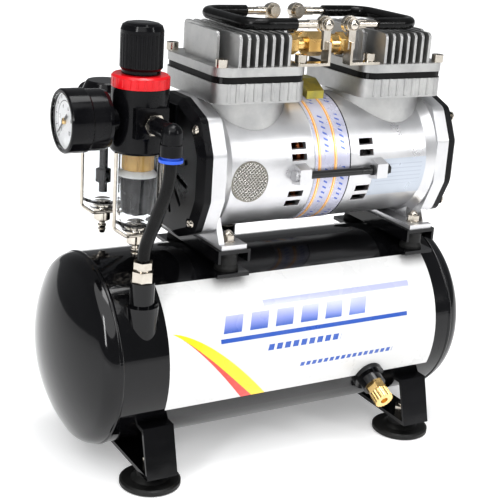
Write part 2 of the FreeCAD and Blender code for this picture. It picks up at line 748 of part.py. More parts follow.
def make_handle(direction):
    """Nickelled bail: round rod with a flattened eye at each end. direction is +1 for the left one."""
    pivot_x = motor_x - direction * handle_pivot_x
    points = bail_points(pivot_x, direction, 6.5)
    wire = bent_wire(points, [13.0, 13.0])
    parts = [swept(wire, points, rod_radius)]
    for side in (-1, 1):
        y = side * handle_pivot_y
        parts.append(rod(vec(pivot_x, y - 1.6, handle_pivot_z), vec(pivot_x, y + 1.6, handle_pivot_z), 5.4))
        neck_low = min(pivot_x, pivot_x - direction * 12)
        parts.append(block(neck_low, neck_low + 12, y - 1.6, y + 1.6, handle_pivot_z - 2.6, handle_pivot_z + 2.6))
    handle = join(parts)
    for side in (-1, 1):
        y = side * handle_pivot_y
        handle = handle.cut(rod(vec(pivot_x, y - 5, handle_pivot_z), vec(pivot_x, y + 5, handle_pivot_z), 2.05))
    return handle


def make_grip(direction):
    pivot_x = motor_x - direction * handle_pivot_x
    points = bail_points(pivot_x, direction, 21.0)
    wire = bent_wire(points, [13.0, 13.0])
    sleeve = swept(wire, points, grip_radius)
    bore = swept(wire, points, rod_radius)
    return sleeve.cut(bore)


def make_handle_straps():
    """Bent strap from each inner head bolt up to a handle pivot."""
    straps = []
    for x, direction in ((left_head_x, 1), (right_head_x, -1)):
        pivot_x = motor_x - direction * handle_pivot_x
        bolt_x = x + direction * head_bolt_x
        for side in (-1, 1):
            y = side * (handle_pivot_y + 3.3)
            low_x = min(bolt_x - direction * 5.0, pivot_x + direction * 2.0)
            high_x = max(bolt_x - direction * 5.0, pivot_x + direction * 2.0)
            foot = block(low_x, high_x, y - 4.2, y + 4.2, head_plate_top_z, head_plate_top_z + strap_foot)
            rise_x = min(pivot_x + direction * 0.2, pivot_x + direction * 2.0)
            rise = block(rise_x, rise_x + 1.8, y - 4.2, y + 4.2, head_plate_top_z, 277)
            eye = rod(vec(pivot_x, y - 1.3, handle_pivot_z), vec(pivot_x, y + 1.3, handle_pivot_z), 4.6)
            twist = block(pivot_x - 2.6, pivot_x + 2.6, y - 1.3, y + 1.3, 272, handle_pivot_z)
            strap = join([foot, rise, eye, twist])
            strap = strap.cut(rod(vec(pivot_x, y - 5, handle_pivot_z), vec(pivot_x, y + 5, handle_pivot_z), 2.05))
            strap = strap.cut(rod(vec(bolt_x, side * head_bolt_y, 255), vec(bolt_x, side * head_bolt_y, 270), 2.2))
            straps.append(strap)
    return group(straps)


def make_pivot_bolts():
    bolts = []
    for direction in (1, -1):
        pivot_x = motor_x - direction * handle_pivot_x
        for side in (-1, 1):
            y_in = side * (handle_pivot_y - 1.8)
            y_out = side * (handle_pivot_y + 4.8)
            pin = rod(vec(pivot_x, y_in, handle_pivot_z), vec(pivot_x, y_out, handle_pivot_z), 2.0)
            dome = Part.makeSphere(3.6, vec(pivot_x, y_out, handle_pivot_z))
            keep = block(pivot_x - 5, pivot_x + 5, min(y_out, y_out + side * 5), max(y_out, y_out + side * 5), handle_pivot_z - 5, handle_pivot_z + 5)
            dome = dome.common(keep)
            head = rod(vec(pivot_x, y_in, handle_pivot_z), vec(pivot_x, y_in - side * 2.4, handle_pivot_z), 3.6)
            bolts.append(join([pin, dome, head]))
    return group(bolts)


# ---- regulator, gauge and filters ---------------------------------------
port_face_y = regulator_y - 19.0
screw_radius = 4.0


def unit_top(y):
    return vec(unit_x, y, 0)


def make_regulator_body():
    z0 = unit_bottom_z
    profile = [(0, z0), (unit_radius - 1.2, z0), (unit_radius, z0 + 1.5), (unit_radius, unit_top_z), (0, unit_top_z)]
    body = turned(profile, unit_top(regulator_y), vec(0, 0, 1))
    body = body.fuse(block(unit_x - 10.5, unit_x + 10.5, port_face_y, regulator_y, port_z - 9, port_z + 9))
    body = body.fuse(rod(vec(unit_x, regulator_y, port_z), vec(unit_x - unit_radius - 1.0, regulator_y, port_z), 7.5))
    body = body.cut(rod(vec(unit_x, regulator_y, port_z + 6), vec(unit_x, regulator_y, unit_top_z + 1), 13.0))
    body = body.cut(rod(vec(unit_x, port_face_y - 1, port_z), vec(unit_x, regulator_y, port_z), 4.9))
    body = body.cut(rod(vec(unit_x, regulator_y, z0 - 1), vec(unit_x, regulator_y, port_z + 7), 3.0))
    body = body.cut(rod(vec(unit_x, regulator_y, z0 - 1), vec(unit_x, regulator_y, z0 + 6), bowl_radius + 0.02))
    body = body.cut(rod(vec(unit_x - 25, regulator_y, port_z), vec(unit_x - 8, regulator_y, port_z), 4.0))
    body = body.cut(rod(vec(unit_x, regulator_y, port_z), vec(unit_x, regulator_y + 30, port_z), 4.9))
    return body.removeSplitter()


ring_top_z = unit_top_z + 7.5
knob_bottom_z = ring_top_z + 0.6
knob_top_z = 288.0
knob_radius = 12.9


def make_regulator_ring():
    outer = unit_radius + 0.1
    ring = turned([(0, 0), (outer, 0), (outer, 6.3), (outer - 1.2, 7.5), (0, 7.5)], vec(unit_x, regulator_y, unit_top_z), vec(0, 0, 1))
    ring = ring.cut(rod(vec(unit_x, regulator_y, 240), vec(unit_x, regulator_y, ring_top_z + 1), screw_radius + 0.05))
    for i in range(24):
        angle = math.radians(15 * i)
        x = unit_x + (outer + 0.5) * math.cos(angle)
        y = regulator_y + (outer + 0.5) * math.sin(angle)
        ring = ring.cut(rod(vec(x, y, unit_top_z + 0.8), vec(x, y, unit_top_z + 6.0), 0.9))
    return ring


def make_adjusting_screw():
    shank = rod(vec(unit_x, regulator_y, 246.5), vec(unit_x, regulator_y, 281), screw_radius)
    flange = rod(vec(unit_x, regulator_y, 244.5), vec(unit_x, regulator_y, 247), 9.5)
    return join([shank, flange])


def make_regulator_knob():
    """Ribbed knob, hollow below, that lifts off its lock before it turns the screw."""
    r = knob_radius
    h = knob_top_z - knob_bottom_z
    outer = [(0, 0), (r - 1.2, 0), (r - 1.2, 2.0), (r, 3.5), (r, h - 4.5), (r - 1.0, h - 1.8), (r - 3.2, h - 0.5), (r - 6, h), (0, h)]
    knob = turned(outer, vec(unit_x, regulator_y, knob_bottom_z), vec(0, 0, 1))
    for i in range(30):
        angle = math.radians(12 * i)
        x = unit_x + (r + 0.35) * math.cos(angle)
        y = regulator_y + (r + 0.35) * math.sin(angle)
        knob = knob.cut(rod(vec(x, y, knob_bottom_z + 3.8), vec(x, y, knob_top_z - 6.5), 0.8))
    knob = knob.cut(rod(vec(unit_x, regulator_y, knob_bottom_z - 1), vec(unit_x, regulator_y, knob_bottom_z + 5), 10.0))
    knob = knob.cut(rod(vec(unit_x, regulator_y, knob_bottom_z - 1), vec(unit_x, regulator_y, 282.5), screw_radius + 0.06))
    return knob


def make_regulator_spring():
    """Range spring under the adjusting screw, with closed, seated ends left as plain coil."""
    wire_radius = 1.0
    coil_radius = 7.5
    low = port_z + 6 + wire_radius + 0.1
    height = 244.5 - low - wire_radius - 0.2
    helix = Part.makeHelix(height / 2, height, coil_radius)
    start = vec(coil_radius, 0, 0)
    circle = Part.Wire([Part.makeCircle(wire_radius, start, vec(0, 1, 0))])
    coil = Part.Wire(helix).makePipeShell([circle], True, True)
    coil.translate(vec(unit_x, regulator_y, low))
    return coil


outlet_reach = 14.0
outlet_radius = 6.58


def make_filter_body():
    """Second unit behind the regulator, its connecting block and the air outlet at the rear."""
    z0 = unit_bottom_z
    profile = [(0, z0), (unit_radius - 1.2, z0), (unit_radius, z0 + 1.5), (unit_radius, 232), (12.5, 243), (11.5, 244), (0, 244)]
    body = turned(profile, unit_top(filter_y), vec(0, 0, 1))
    gap_low = regulator_y + unit_radius + 0.05
    body = body.fuse(block(unit_x - 9, unit_x + 9, gap_low, filter_y, port_z - 9, port_z + 7))
    body = body.cut(rod(vec(unit_x, regulator_y, 200), vec(unit_x, regulator_y, 260), unit_radius + 0.05))
    outlet_y = filter_y + unit_radius
    outlet_end_y = outlet_y + outlet_reach
    body = body.fuse(hex_prism(17, 5, vec(unit_x, outlet_y - 1, port_z), vec(0, 1, 0)))
    body = body.fuse(rod(vec(unit_x, outlet_y, port_z), vec(unit_x, outlet_end_y, port_z), outlet_radius))
    body = body.cut(rod(vec(unit_x, gap_low - 5, port_z), vec(unit_x, outlet_end_y + 1, port_z), 3.0))
    body = body.cut(rod(vec(unit_x, filter_y, z0 - 1), vec(unit_x, filter_y, z0 + 6), bowl_radius + 0.02))
    body = body.cut(rod(vec(unit_x, filter_y, z0 - 1), vec(unit_x, filter_y, port_z), 3.0))
    return body.removeSplitter()


def bowl_profile(radius, bottom):
    top = unit_bottom_z + 4.0
    return [(0, bottom), (radius - 5.5, bottom), (radius - 0.8, bottom + 5.0), (radius, bottom + 9.0), (radius, top), (0, top)]


def make_bowls():
    bowls = []
    for y in (regulator_y, filter_y):
        outer = turned(bowl_profile(bowl_radius, bowl_bottom_z), unit_top(y), vec(0, 0, 1))
        inner = turned(bowl_profile(bowl_radius - 1.8, bowl_bottom_z + 2.0), unit_top(y), vec(0, 0, 1))
        opening = rod(vec(unit_x, y, unit_bottom_z), vec(unit_x, y, unit_bottom_z + 5), bowl_radius - 1.8)
        hole = rod(vec(unit_x, y, bowl_bottom_z - 1), vec(unit_x, y, bowl_bottom_z + 3), 4.05)
        bowls.append(outer.cut(inner).cut(opening).cut(hole))
    return group(bowls)


def make_bails():
    """Spring-steel bail round each bowl: down both sides and round under the drain."""
    bails = []
    for y in (regulator_y, filter_y):
        reach = bowl_radius + 1.5
        low = bowl_bottom_z - 1.6
        side_y = y - 3.0
        under_y = y - 8.2
        points = [vec(unit_x - reach, side_y, unit_bottom_z), vec(unit_x - reach, side_y, low + 4)]
        points += [vec(unit_x - reach + 6, under_y, low), vec(unit_x + reach - 6, under_y, low)]
        points += [vec(unit_x + reach, side_y, low + 4), vec(unit_x + reach, side_y, unit_bottom_z)]
        wire = bent_wire(points, [3.0, 3.0, 3.0, 3.0])
        bails.append(swept(wire, points, 1.1))
    return group(bails)


def make_filter_elements():
    """Sintered filter on a white baffle above the dark float chamber."""
    parts = []
    chamber_bottom_z = 171.0
    baffle_bottom_z = 195.4
    baffle_top_z = 199.6
    for y in (regulator_y, filter_y):
        hub = rod(vec(unit_x, y, chamber_bottom_z - 3), vec(unit_x, y, unit_bottom_z + 6.0), 3.6)
        filter_sleeve = rod(vec(unit_x, y, baffle_top_z), vec(unit_x, y, unit_bottom_z + 5.7), 9.6)
        baffle = rod(vec(unit_x, y, baffle_bottom_z), vec(unit_x, y, baffle_top_z), 11.2)
        chamber = rod(vec(unit_x, y, chamber_bottom_z), vec(unit_x, y, baffle_bottom_z), 9.8)
        parts.append(join([hub, filter_sleeve, baffle, chamber]))
    return group(parts)


stem_radius = 2.0


def make_drain_nuts():
    nuts = []
    for y in (regulator_y, filter_y):
        base = vec(unit_x, y, bowl_bottom_z)
        profile = [(0, 3.2), (6.6, 3.2), (6.6, 2.0), (4.0, 2.0), (4.0, 0), (6.9, 0), (6.9, -1.6), (5.5, -2.2)]
        profile += [(5.5, -8.6), (4.0, -9.8), (0, -9.8)]
        nut = turned(profile, base, vec(0, 0, 1))
        bore = rod(vec(unit_x, y, bowl_bottom_z - 12), vec(unit_x, y, bowl_bottom_z + 4), stem_radius + 0.05)
        room = rod(vec(unit_x, y, bowl_bottom_z - 7.5), vec(unit_x, y, bowl_bottom_z - 1.5), 3.2)
        nuts.append(nut.cut(bore).cut(room))
    return group(nuts)


def make_drain_stem(y):
    """Push-up drain stem with a hose barb, shown down at rest."""
    low = 143.0
    parts = [rod(vec(unit_x, y, low + 1), vec(unit_x, y, bowl_bottom_z - 1.0), stem_radius)]
    for z, r in ((low, 2.6), (low + 2.8, 2.9)):
        parts.append(turned([(0, 0), (r * 0.7, 0), (r, 2.2), (r, 2.8), (0, 2.8)], vec(unit_x, y, z), vec(0, 0, 1)))
    parts.append(rod(vec(unit_x, y, bowl_bottom_z - 7.2), vec(unit_x, y, bowl_bottom_z - 6.2), 2.9))
    return join(parts)


def make_gauge():
    """Pressure gauge facing -X on a short stem: case, dial plate, lens and needle."""
    y = regulator_y
    back = unit_x - unit_radius - 2.5
    depth = back - gauge_face_x
    r = gauge_radius
    case = [(0, 0), (9, 0), (r - 1.6, 3.0), (r - 0.8, 5.5), (r - 0.8, depth - 14.0), (r, depth - 13.0), (r, depth - 1.0), (r - 0.8, depth), (0, depth)]
    case = turned(case, vec(back, y, port_z), vec(-1, 0, 0))
    cup = rod(vec(gauge_face_x + 10, y, port_z), vec(gauge_face_x - 1, y, port_z), r - 2.3)
    stem = rod(vec(back + 1, y, port_z), vec(unit_x - 9, y, port_z), 3.9)
    flats = hex_prism(10.5, 1.4, vec(back, y, port_z), vec(1, 0, 0))
    case = join([case, stem, flats]).cut(cup)
    pin_hole = rod(vec(gauge_face_x + 14, y, port_z), vec(gauge_face_x + 5, y, port_z), 0.75)
    case = case.cut(pin_hole)
    dial = tube(vec(gauge_face_x + 7.6, y, port_z), vec(gauge_face_x + 7.0, y, port_z), r - 2.4, 0.75)
    lens = rod(vec(gauge_face_x + 2.4, y, port_z), vec(gauge_face_x + 0.9, y, port_z), r - 2.35)
    return case, dial, lens


needle_rest = -132.0


def make_needle():
    """Needle on its pin; at rest it stands at zero, low on the dial's front side."""
    y = regulator_y
    plane = gauge_face_x + 5.2
    pin = rod(vec(gauge_face_x + 12, y, port_z), vec(plane - 0.8, y, port_z), 0.7)
    hub = rod(vec(plane + 0.4, y, port_z), vec(plane - 0.8, y, port_z), 2.0)
    points = [vec(plane, -0.9, -6.5), vec(plane, 0.9, -6.5), vec(plane, 0.6, 4), vec(plane, 0.15, 13.2), vec(plane, -0.15, 13.2), vec(plane, -0.6, 4)]
    blade = Part.Face(Part.makePolygon(points + [points[0]])).extrude(vec(-0.4, 0, 0))
    blade.rotate(vec(0, 0, 0), vec(1, 0, 0), needle_rest)
    blade.translate(vec(0, y, port_z))
    return join([pin, hub, blade])


# ---- hoses, fittings and drain valve ------------------------------------
elbow_y = port_face_y - 26.0
elbow_bottom_z = 218.0


def make_elbow():
    """Push-in elbow: level leg out of its hex, rounded corner, sleeve down to the release collar."""
    level = rod(vec(unit_x, port_face_y - 4.6, port_z), vec(unit_x, elbow_y, port_z), 5.4)
    corner = Part.makeSphere(6.2, vec(unit_x, elbow_y, port_z))
    drop = rod(vec(unit_x, elbow_y, port_z), vec(unit_x, elbow_y, elbow_bottom_z + 5), 6.2)
    sleeve = rod(vec(unit_x, elbow_y, elbow_bottom_z), vec(unit_x, elbow_y, elbow_bottom_z + 7), 6.7)
    elbow = join([level, corner, drop, sleeve])
    elbow = elbow.cut(rod(vec(unit_x, elbow_y, elbow_bottom_z - 1), vec(unit_x, elbow_y, elbow_bottom_z + 6.5), 5.6))
    elbow = elbow.cut(rod(vec(unit_x, elbow_y, elbow_bottom_z - 1), vec(unit_x, elbow_y, port_z), 2.5))
    elbow = elbow.cut(rod(vec(unit_x, port_face_y, port_z), vec(unit_x, elbow_y, port_z), 2.5))
    return elbow


def make_release_collar():
    z = elbow_bottom_z
    sleeve = tube(vec(unit_x, elbow_y, z - 2.6), vec(unit_x, elbow_y, z + 4.0), 5.55, hose_radius + 0.06)
    lip = tube(vec(unit_x, elbow_y, z - 3.4), vec(unit_x, elbow_y, z - 1.6), 7.2, hose_radius + 0.06)
    return join([sleeve, lip])


inlet_nut_top_z = 149.0
hose_route = [
    vec(unit_x, elbow_y, elbow_bottom_z + 6.4),
    vec(unit_x, elbow_y, 201.0),
    vec(inlet_x, inlet_y, 156.0),
    vec(inlet_x, inlet_y, inlet_top_z + 1.5),
]
discharge_route = [
    vec(motor_x, tee_y + 20.0, tee_z),
    vec(motor_x, 66.0, 270.0),
    vec(motor_x - 1, 79.65, 224.0),
    vec(discharge_x + 10, 73.0, 176.0),
    vec(discharge_x, discharge_y, 150.0),
    vec(discharge_x, discharge_y, discharge_top_z + 1.5),
]


def make_hose(name, route, radius):
    radii = widest_radii(route)
    wire = bent_wire(route, radii)
    hose = swept(wire, route, radius)
    section = math.pi * radius ** 2
    text = "%s length %.1f mm, volume / (section x length) %.4f, radii %s"
    print(text % (name, wire.Length, hose.Volume / (section * wire.Length), [round(r, 1) for r in radii]))
    return hose


def make_pipe_nuts():
    """Compression nuts on the two tank bosses and the hex of the elbow at the regulator."""
    inlet = hex_prism(12.0, 7.0, vec(inlet_x, inlet_y, inlet_top_z), vec(0, 0, 1))
    inlet = inlet.fuse(rod(vec(inlet_x, inlet_y, inlet_top_z + 7), vec(inlet_x, inlet_y, inlet_nut_top_z - 3.6), 4.6))
    inlet = inlet.fuse(hex_prism(11.0, 4.4, vec(inlet_x, inlet_y, inlet_nut_top_z - 4.4), vec(0, 0, 1)))
    inlet = inlet.cut(rod(vec(inlet_x, inlet_y, 130), vec(inlet_x, inlet_y, 160), hose_radius))
    inlet = inlet.cut(rod(vec(inlet_x, inlet_y, inlet_nut_top_z - 2), vec(inlet_x, inlet_y, 160), hose_radius + 0.4))
    rear = hex_prism(12.0, 9.0, vec(discharge_x, discharge_y, discharge_top_z), vec(0, 0, 1))
    rear = rear.cut(rod(vec(discharge_x, discharge_y, 130), vec(discharge_x, discharge_y, 160), discharge_radius))
    elbow_hex = hex_prism(12.0, 4.6, vec(unit_x, port_face_y, port_z), vec(0, -1, 0))
    elbow_hex = elbow_hex.fuse(rod(vec(unit_x, port_face_y, port_z), vec(unit_x, port_face_y + 8, port_z), 4.85))
    elbow_hex = elbow_hex.cut(rod(vec(unit_x, port_face_y - 9, port_z), vec(unit_x, port_face_y + 9, port_z), 2.5))
    return group([inlet.removeSplitter(), rear, elbow_hex.removeSplitter()])


discharge_radius = 3.5


def make_drain_valve():
    body = rod(drain_point(66), drain_point(73), 4.45)
    body = body.fuse(hex_prism(11.5, 5.5, drain_point(73), drain_way))
    body = body.cut(rod(drain_point(64), drain_point(80), 2.05))
    return body.removeSplitter()


def make_drain_knob():
    """Knurled tap screw of the tank drain."""
    body = rod(drain_point(78.8), drain_point(86.5), 6.6)
    for i in range(18):
        angle = math.radians(20 * i)
        side = vec(1, 0, 0) * math.cos(angle) + drain_way.cross(vec(1, 0, 0)) * math.sin(angle)
        body = body.cut(rod(drain_point(78) + side * 7.1, drain_point(87) + side * 7.1, 0.95))
    body = body.cut(rod(drain_point(84), drain_point(88), 2.6))
    return join([body, rod(drain_point(68), drain_point(80), 2.0)])


# ---- bracket and switch -------------------------------------------------
def make_bracket():
    """Angle plate that carries the regulator and filter from the left end cover."""
    cover_x = motor_x - motor_end_x - cover_depth
    upright = block(cover_x - 2.2, cover_x, -14, 27, 216, 236)
    z = port_z + 7
    arm = block(unit_x - 8, cover_x, 0, 11, z, z + 2.4)
    gusset = block(cover_x - 2.2, cover_x, 0, 11, 234, z + 2.4)
    return join([upright, arm, gusset])


def make_terminal_cover():
    """Folded zinc-plated cover over the winding leads, on top of the stator between the cylinders."""
    points = [vec(0, -14, 236), vec(0, -14, 241.5), vec(0, -3, 248), vec(0, 9, 248), vec(0, 9, 236)]
    cover = Part.Face(Part.makePolygon(points + [points[0]])).extrude(vec(13, 0, 0))
    cover.translate(vec(motor_x - 6.5, 0, 0))
    return cover.cut(motor_rod(motor_x - 20, motor_x + 20, band_radius))


switch_x = motor_x - 58.0
switch_z = 200.0


def make_switch_box():
    """Switch housing on the rear of the left crankcase half, with the cord inlet gland on its left face."""
    gland_y = 51.0
    gland_z = switch_z - 9.0
    outer = block(switch_x - 16, switch_x + 16, 36, 58, switch_z - 17, switch_z + 15)
    outer = outer.makeFillet(2.5, [e for e in outer.Edges if e.BoundBox.YMin > 57])
    outer = outer.cut(motor_rod(switch_x - 30, switch_x + 30, motor_radius + 0.03))
    outer = outer.cut(end_prism(motor_x - motor_end_x - 2, motor_x - motor_end_x + flange_depth + 0.1))
    outer = outer.cut(block(switch_x - 12, switch_x + 12, 46, 56, switch_z - 14, switch_z + 12))
    outer = outer.cut(block(switch_x - 10, switch_x + 10, 50, 60, switch_z - 6.6, switch_z + 6.6))
    gland_profile = [(0, 0), (6.0, 0), (6.0, 3), (4.6, 4), (3.9, 10), (0, 10)]
    outer = outer.fuse(turned(gland_profile, vec(switch_x - 16, gland_y, gland_z), vec(-1, 0, 0)))
    gland_bore = rod(vec(switch_x - 28, gland_y, gland_z), vec(switch_x - 11, gland_y, gland_z), 2.9)
    outer = outer.cut(gland_bore)
    return outer.removeSplitter()


def make_rocker():
    """Rocker of the power switch, pivoting about X in its window."""
    profile = [vec(0, 56.2, -6.0), vec(0, 60.6, -5.6), vec(0, 58.4, 0), vec(0, 58.6, 5.6), vec(0, 56.2, 6.0), vec(0, 53.2, 2.5), vec(0, 53.2, -2.5)]
    rocker = Part.Face(Part.makePolygon(profile + [profile[0]])).extrude(vec(19.2, 0, 0))
    rocker.translate(vec(switch_x - 9.6, 0, switch_z))
    return rocker


# ---- all parts ----------------------------------------------------------
def build():
    save("tank_shell", make_tank_shell())
    save("tank_ends", make_tank_ends())
    save("leg_straps", make_leg_straps())
    pads, screws = make_feet()
    save("foot_pads", pads)
    save("rubber_isolators", make_isolators())
    save("mount_bars", make_mount_bars())
    save("mount_fasteners", group(make_mount_nuts() + screws))

    housing = make_housing(left_lug_x, mount_x[0])
    right_lug_turned_x = 2 * motor_x - right_lug_x - lug_width
    right_housing = half_turned(make_housing(right_lug_turned_x, 2 * motor_x - mount_x[1]))
    save("motor_housing_left", housing)
    save("motor_housing_right", right_housing)
    save("end_covers", make_covers())
    save("cover_screws", make_cover_screws())
    save("tie_bolts", make_tie_bolts())
    save("intake_screens", make_screens())
    core, windings = make_stator()
    save("stator_core", core)
    save("stator_windings", windings)
    save("shaft_bearings", make_bearings())

    save("crankshaft", make_crankshaft())
    save("rotor_core", make_rotor_core())
    save("cooling_fans", make_fans())
    for side, x in (("left", left_head_x), ("right", right_head_x)):
        piston = make_piston(x)
        if side == "right":
            piston.translate(vec(0, 0, -piston_stroke))
        save("piston_" + side, piston)

    save("cylinders", group([make_cylinder(left_head_x, housing), make_cylinder(right_head_x, right_housing)]))
    save("valve_plates", group([make_valve_plate(x) for x in head_xs]))
    save("cylinder_head_left", make_head(left_head_x, 1))
    save("cylinder_head_right", make_head(right_head_x, -1))
    save("head_bolts", make_head_bolts())
    save("transfer_tube", make_transfer_tube())

    save("handle_left", make_handle(1))
    save("handle_right", make_handle(-1))
    save("grip_left", make_grip(1))
    save("grip_right", make_grip(-1))
    save("handle_straps", make_handle_straps())
    save("pivot_bolts", make_pivot_bolts())

    save("regulator_body", make_regulator_body())
    save("regulator_ring", make_regulator_ring())
    save("adjusting_screw", make_adjusting_screw())
    save("regulator_knob", make_regulator_knob())
    save("regulator_spring", make_regulator_spring())
    save("rear_filter_body", make_filter_body())
    save("filter_bowls", make_bowls())
    save("bowl_bails", make_bails())
    save("filter_elements", make_filter_elements())
    save("filter_drain_nuts", make_drain_nuts())
    save("drain_stem_front", make_drain_stem(regulator_y))
    save("drain_stem_rear", make_drain_stem(filter_y))
    case, dial, lens = make_gauge()
    save("gauge_case", case)
    save("gauge_dial", dial)
    save("gauge_lens", lens)
    save("gauge_needle", make_needle())

    save("elbow_fitting", make_elbow())
    save("release_collar", make_release_collar())
    save("pipe_nuts", make_pipe_nuts())
    save("air_hose", make_hose("air_hose", hose_route, hose_radius))
    save("discharge_hose", make_hose("discharge_hose", discharge_route, discharge_radius))
    save("drain_valve", make_drain_valve())
    save("tank_drain_knob", make_drain_knob())
    save("unit_bracket", make_bracket())
    save("terminal_cover", make_terminal_cover())
    save("switch_box", make_switch_box())
    save("switch_rocker", make_rocker())


build()
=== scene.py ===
import math

import bpy
from mathutils import Matrix, Vector


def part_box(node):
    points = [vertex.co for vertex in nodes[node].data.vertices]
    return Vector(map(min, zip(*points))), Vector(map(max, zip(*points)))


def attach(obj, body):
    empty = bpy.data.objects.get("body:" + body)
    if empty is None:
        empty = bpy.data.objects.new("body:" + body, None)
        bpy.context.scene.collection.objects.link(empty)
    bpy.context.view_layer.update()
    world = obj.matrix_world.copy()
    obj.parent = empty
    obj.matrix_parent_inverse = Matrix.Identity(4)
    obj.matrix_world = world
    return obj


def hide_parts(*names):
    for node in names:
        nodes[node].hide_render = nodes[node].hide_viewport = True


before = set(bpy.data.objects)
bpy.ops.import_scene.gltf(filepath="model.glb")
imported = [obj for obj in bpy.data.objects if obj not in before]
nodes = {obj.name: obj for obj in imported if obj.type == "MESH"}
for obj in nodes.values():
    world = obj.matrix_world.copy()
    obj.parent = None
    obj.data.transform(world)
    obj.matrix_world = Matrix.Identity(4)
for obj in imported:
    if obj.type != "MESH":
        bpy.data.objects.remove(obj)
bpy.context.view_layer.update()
mm = 0.001
print("frame loaded,", len(nodes), "nodes")


def boxOf(name):
    low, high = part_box(name)
    return low, high, (low + high) / 2


tankLow, tankHigh, tankMid = boxOf("tank_ends")
tankRadius = (tankHigh.z - tankLow.z) / 2
statorLow, statorHigh, statorMid = boxOf("stator_core")
statorProud = 0.4 * mm   # how far the stator stands out of the housings
motorRadius = (statorHigh.z - statorLow.z) / 2 - statorProud
gaugeLow, gaugeHigh, gaugeMid = boxOf("gauge_dial")
dialRadius = (gaugeHigh.z - gaugeLow.z) / 2


def newMaterial(name):
    material = bpy.data.materials.new(name)
    material.use_nodes = True
    tree = material.node_tree
    shader = tree.nodes["Principled BSDF"]
    return material, tree, shader


def objectCoords(tree):
    return tree.nodes.new("ShaderNodeTexCoord").outputs["Object"]


def noiseOf(tree, vector, scale, detail=4.0, rough=0.55):
    noise = tree.nodes.new("ShaderNodeTexNoise")
    noise.inputs["Scale"].default_value = scale
    noise.inputs["Detail"].default_value = detail
    noise.inputs["Roughness"].default_value = rough
    tree.links.new(vector, noise.inputs["Vector"])
    return noise.outputs["Fac"]


def remap(tree, value, fromLow, fromHigh, toLow, toHigh):
    node = tree.nodes.new("ShaderNodeMapRange")
    node.clamp = True
    node.inputs["From Min"].default_value = fromLow
    node.inputs["From Max"].default_value = fromHigh
    node.inputs["To Min"].default_value = toLow
    node.inputs["To Max"].default_value = toHigh
    tree.links.new(value, node.inputs["Value"])
    return node.outputs["Result"]


def mathOf(tree, operation, first, second=None):
    node = tree.nodes.new("ShaderNodeMath")
    node.operation = operation
    for socket, value in zip(node.inputs, (first, second)):
        if value is None:
            continue
        if isinstance(value, (int, float)):
            socket.default_value = value
        else:
            tree.links.new(value, socket)
    return node.outputs["Value"]


def both(tree, *masks):
    result = masks[0]
    for mask in masks[1:]:
        result = mathOf(tree, "MULTIPLY", result, mask)
    return result


def between(tree, value, low, high):
    return both(tree, mathOf(tree, "GREATER_THAN", value, low), mathOf(tree, "LESS_THAN", value, high))


def mixColours(tree, factor, first, second):
    node = tree.nodes.new("ShaderNodeMix")
    node.data_type = "RGBA"
    sockets = (node.inputs[0], node.inputs[6], node.inputs[7])   # the factor and the two colours
    for socket, value in zip(sockets, (factor, first, second)):
        if isinstance(value, (int, float)):
            socket.default_value = value
        elif isinstance(value, tuple):
            socket.default_value = (*value, 1.0)
        else:
            tree.links.new(value, socket)
    return node.outputs[2]


def bumpOf(tree, height, strength, distance, normal=None):
    node = tree.nodes.new("ShaderNodeBump")
    node.inputs["Strength"].default_value = strength
    node.inputs["Distance"].default_value = distance
    tree.links.new(height, node.inputs["Height"])
    if normal is not None:
        tree.links.new(normal, node.inputs["Normal"])
    return node.outputs["Normal"]


# Millimetres across and up a wrapped sheet, from its lower left corner.
def sheetPlace(tree):
    uv = tree.nodes.new("ShaderNodeUVMap")
    uv.uv_map = "sheetUV"
    split = tree.nodes.new("ShaderNodeSeparateXYZ")
    tree.links.new(uv.outputs["UV"], split.inputs["Vector"])
    across = mathOf(tree, "MULTIPLY", split.outputs["X"], 1000.0)
    up = mathOf(tree, "MULTIPLY", split.outputs["Y"], 1000.0)
    return across, up


def wanderingRoughness(tree, shader, scale, low, high):
    drift = noiseOf(tree, objectCoords(tree), scale)
    tree.links.new(remap(tree, drift, 0.3, 0.7, low, high), shader.inputs["Roughness"])


def gentleBump(tree, shader, scale, strength, depth, detail=2.0):
    height = noiseOf(tree, objectCoords(tree), scale, detail)
    tree.links.new(bumpOf(tree, height, strength, depth), shader.inputs["Normal"])


# One shop finish: two near colours that drift into each other, a roughness that wanders,
# fine grain, and softened edges that catch the light.
def shopFinish(name, look):
    material, tree, shader = newMaterial(name)
    coords = objectCoords(tree)
    drift = noiseOf(tree, coords, look.get("driftScale", 35.0), 5.0, 0.6)
    fine = noiseOf(tree, coords, look.get("grainScale", 900.0), 3.0, 0.6)
    colour = mixColours(tree, remap(tree, drift, 0.35, 0.65, 0.0, 1.0), look["colour"], look["second"])
    if look.get("wear"):
        rubbed = remap(tree, noiseOf(tree, coords, 160.0, 6.0, 0.7), 0.62, 0.74, 0.0, look["wear"])
        colour = mixColours(tree, rubbed, colour, look["wearColour"])
    tree.links.new(colour, shader.inputs["Base Color"])
    shader.inputs["Metallic"].default_value = look.get("metallic", 0.0)
    low, high = look["roughness"]
    tree.links.new(remap(tree, drift, 0.3, 0.7, low, high), shader.inputs["Roughness"])
    shader.inputs["Coat Weight"].default_value = look.get("coat", 0.0)
    shader.inputs["Coat Roughness"].default_value = look.get("coatRoughness", 0.05)
    shader.inputs["IOR"].default_value = look.get("ior", 1.5)
    normal = None
    if look.get("softEdge"):
        rounding = tree.nodes.new("ShaderNodeBevel")
        rounding.samples = 4
        rounding.inputs["Radius"].default_value = look["softEdge"]
        normal = rounding.outputs["Normal"]
    normal = bumpOf(tree, fine, look.get("grain", 0.15), look.get("grainDepth", 0.0001), normal)
    if look.get("waves"):
        normal = bumpOf(tree, noiseOf(tree, coords, look["waves"], 2.0), 0.25, 0.0006, normal)
    tree.links.new(normal, shader.inputs["Normal"])
    return material


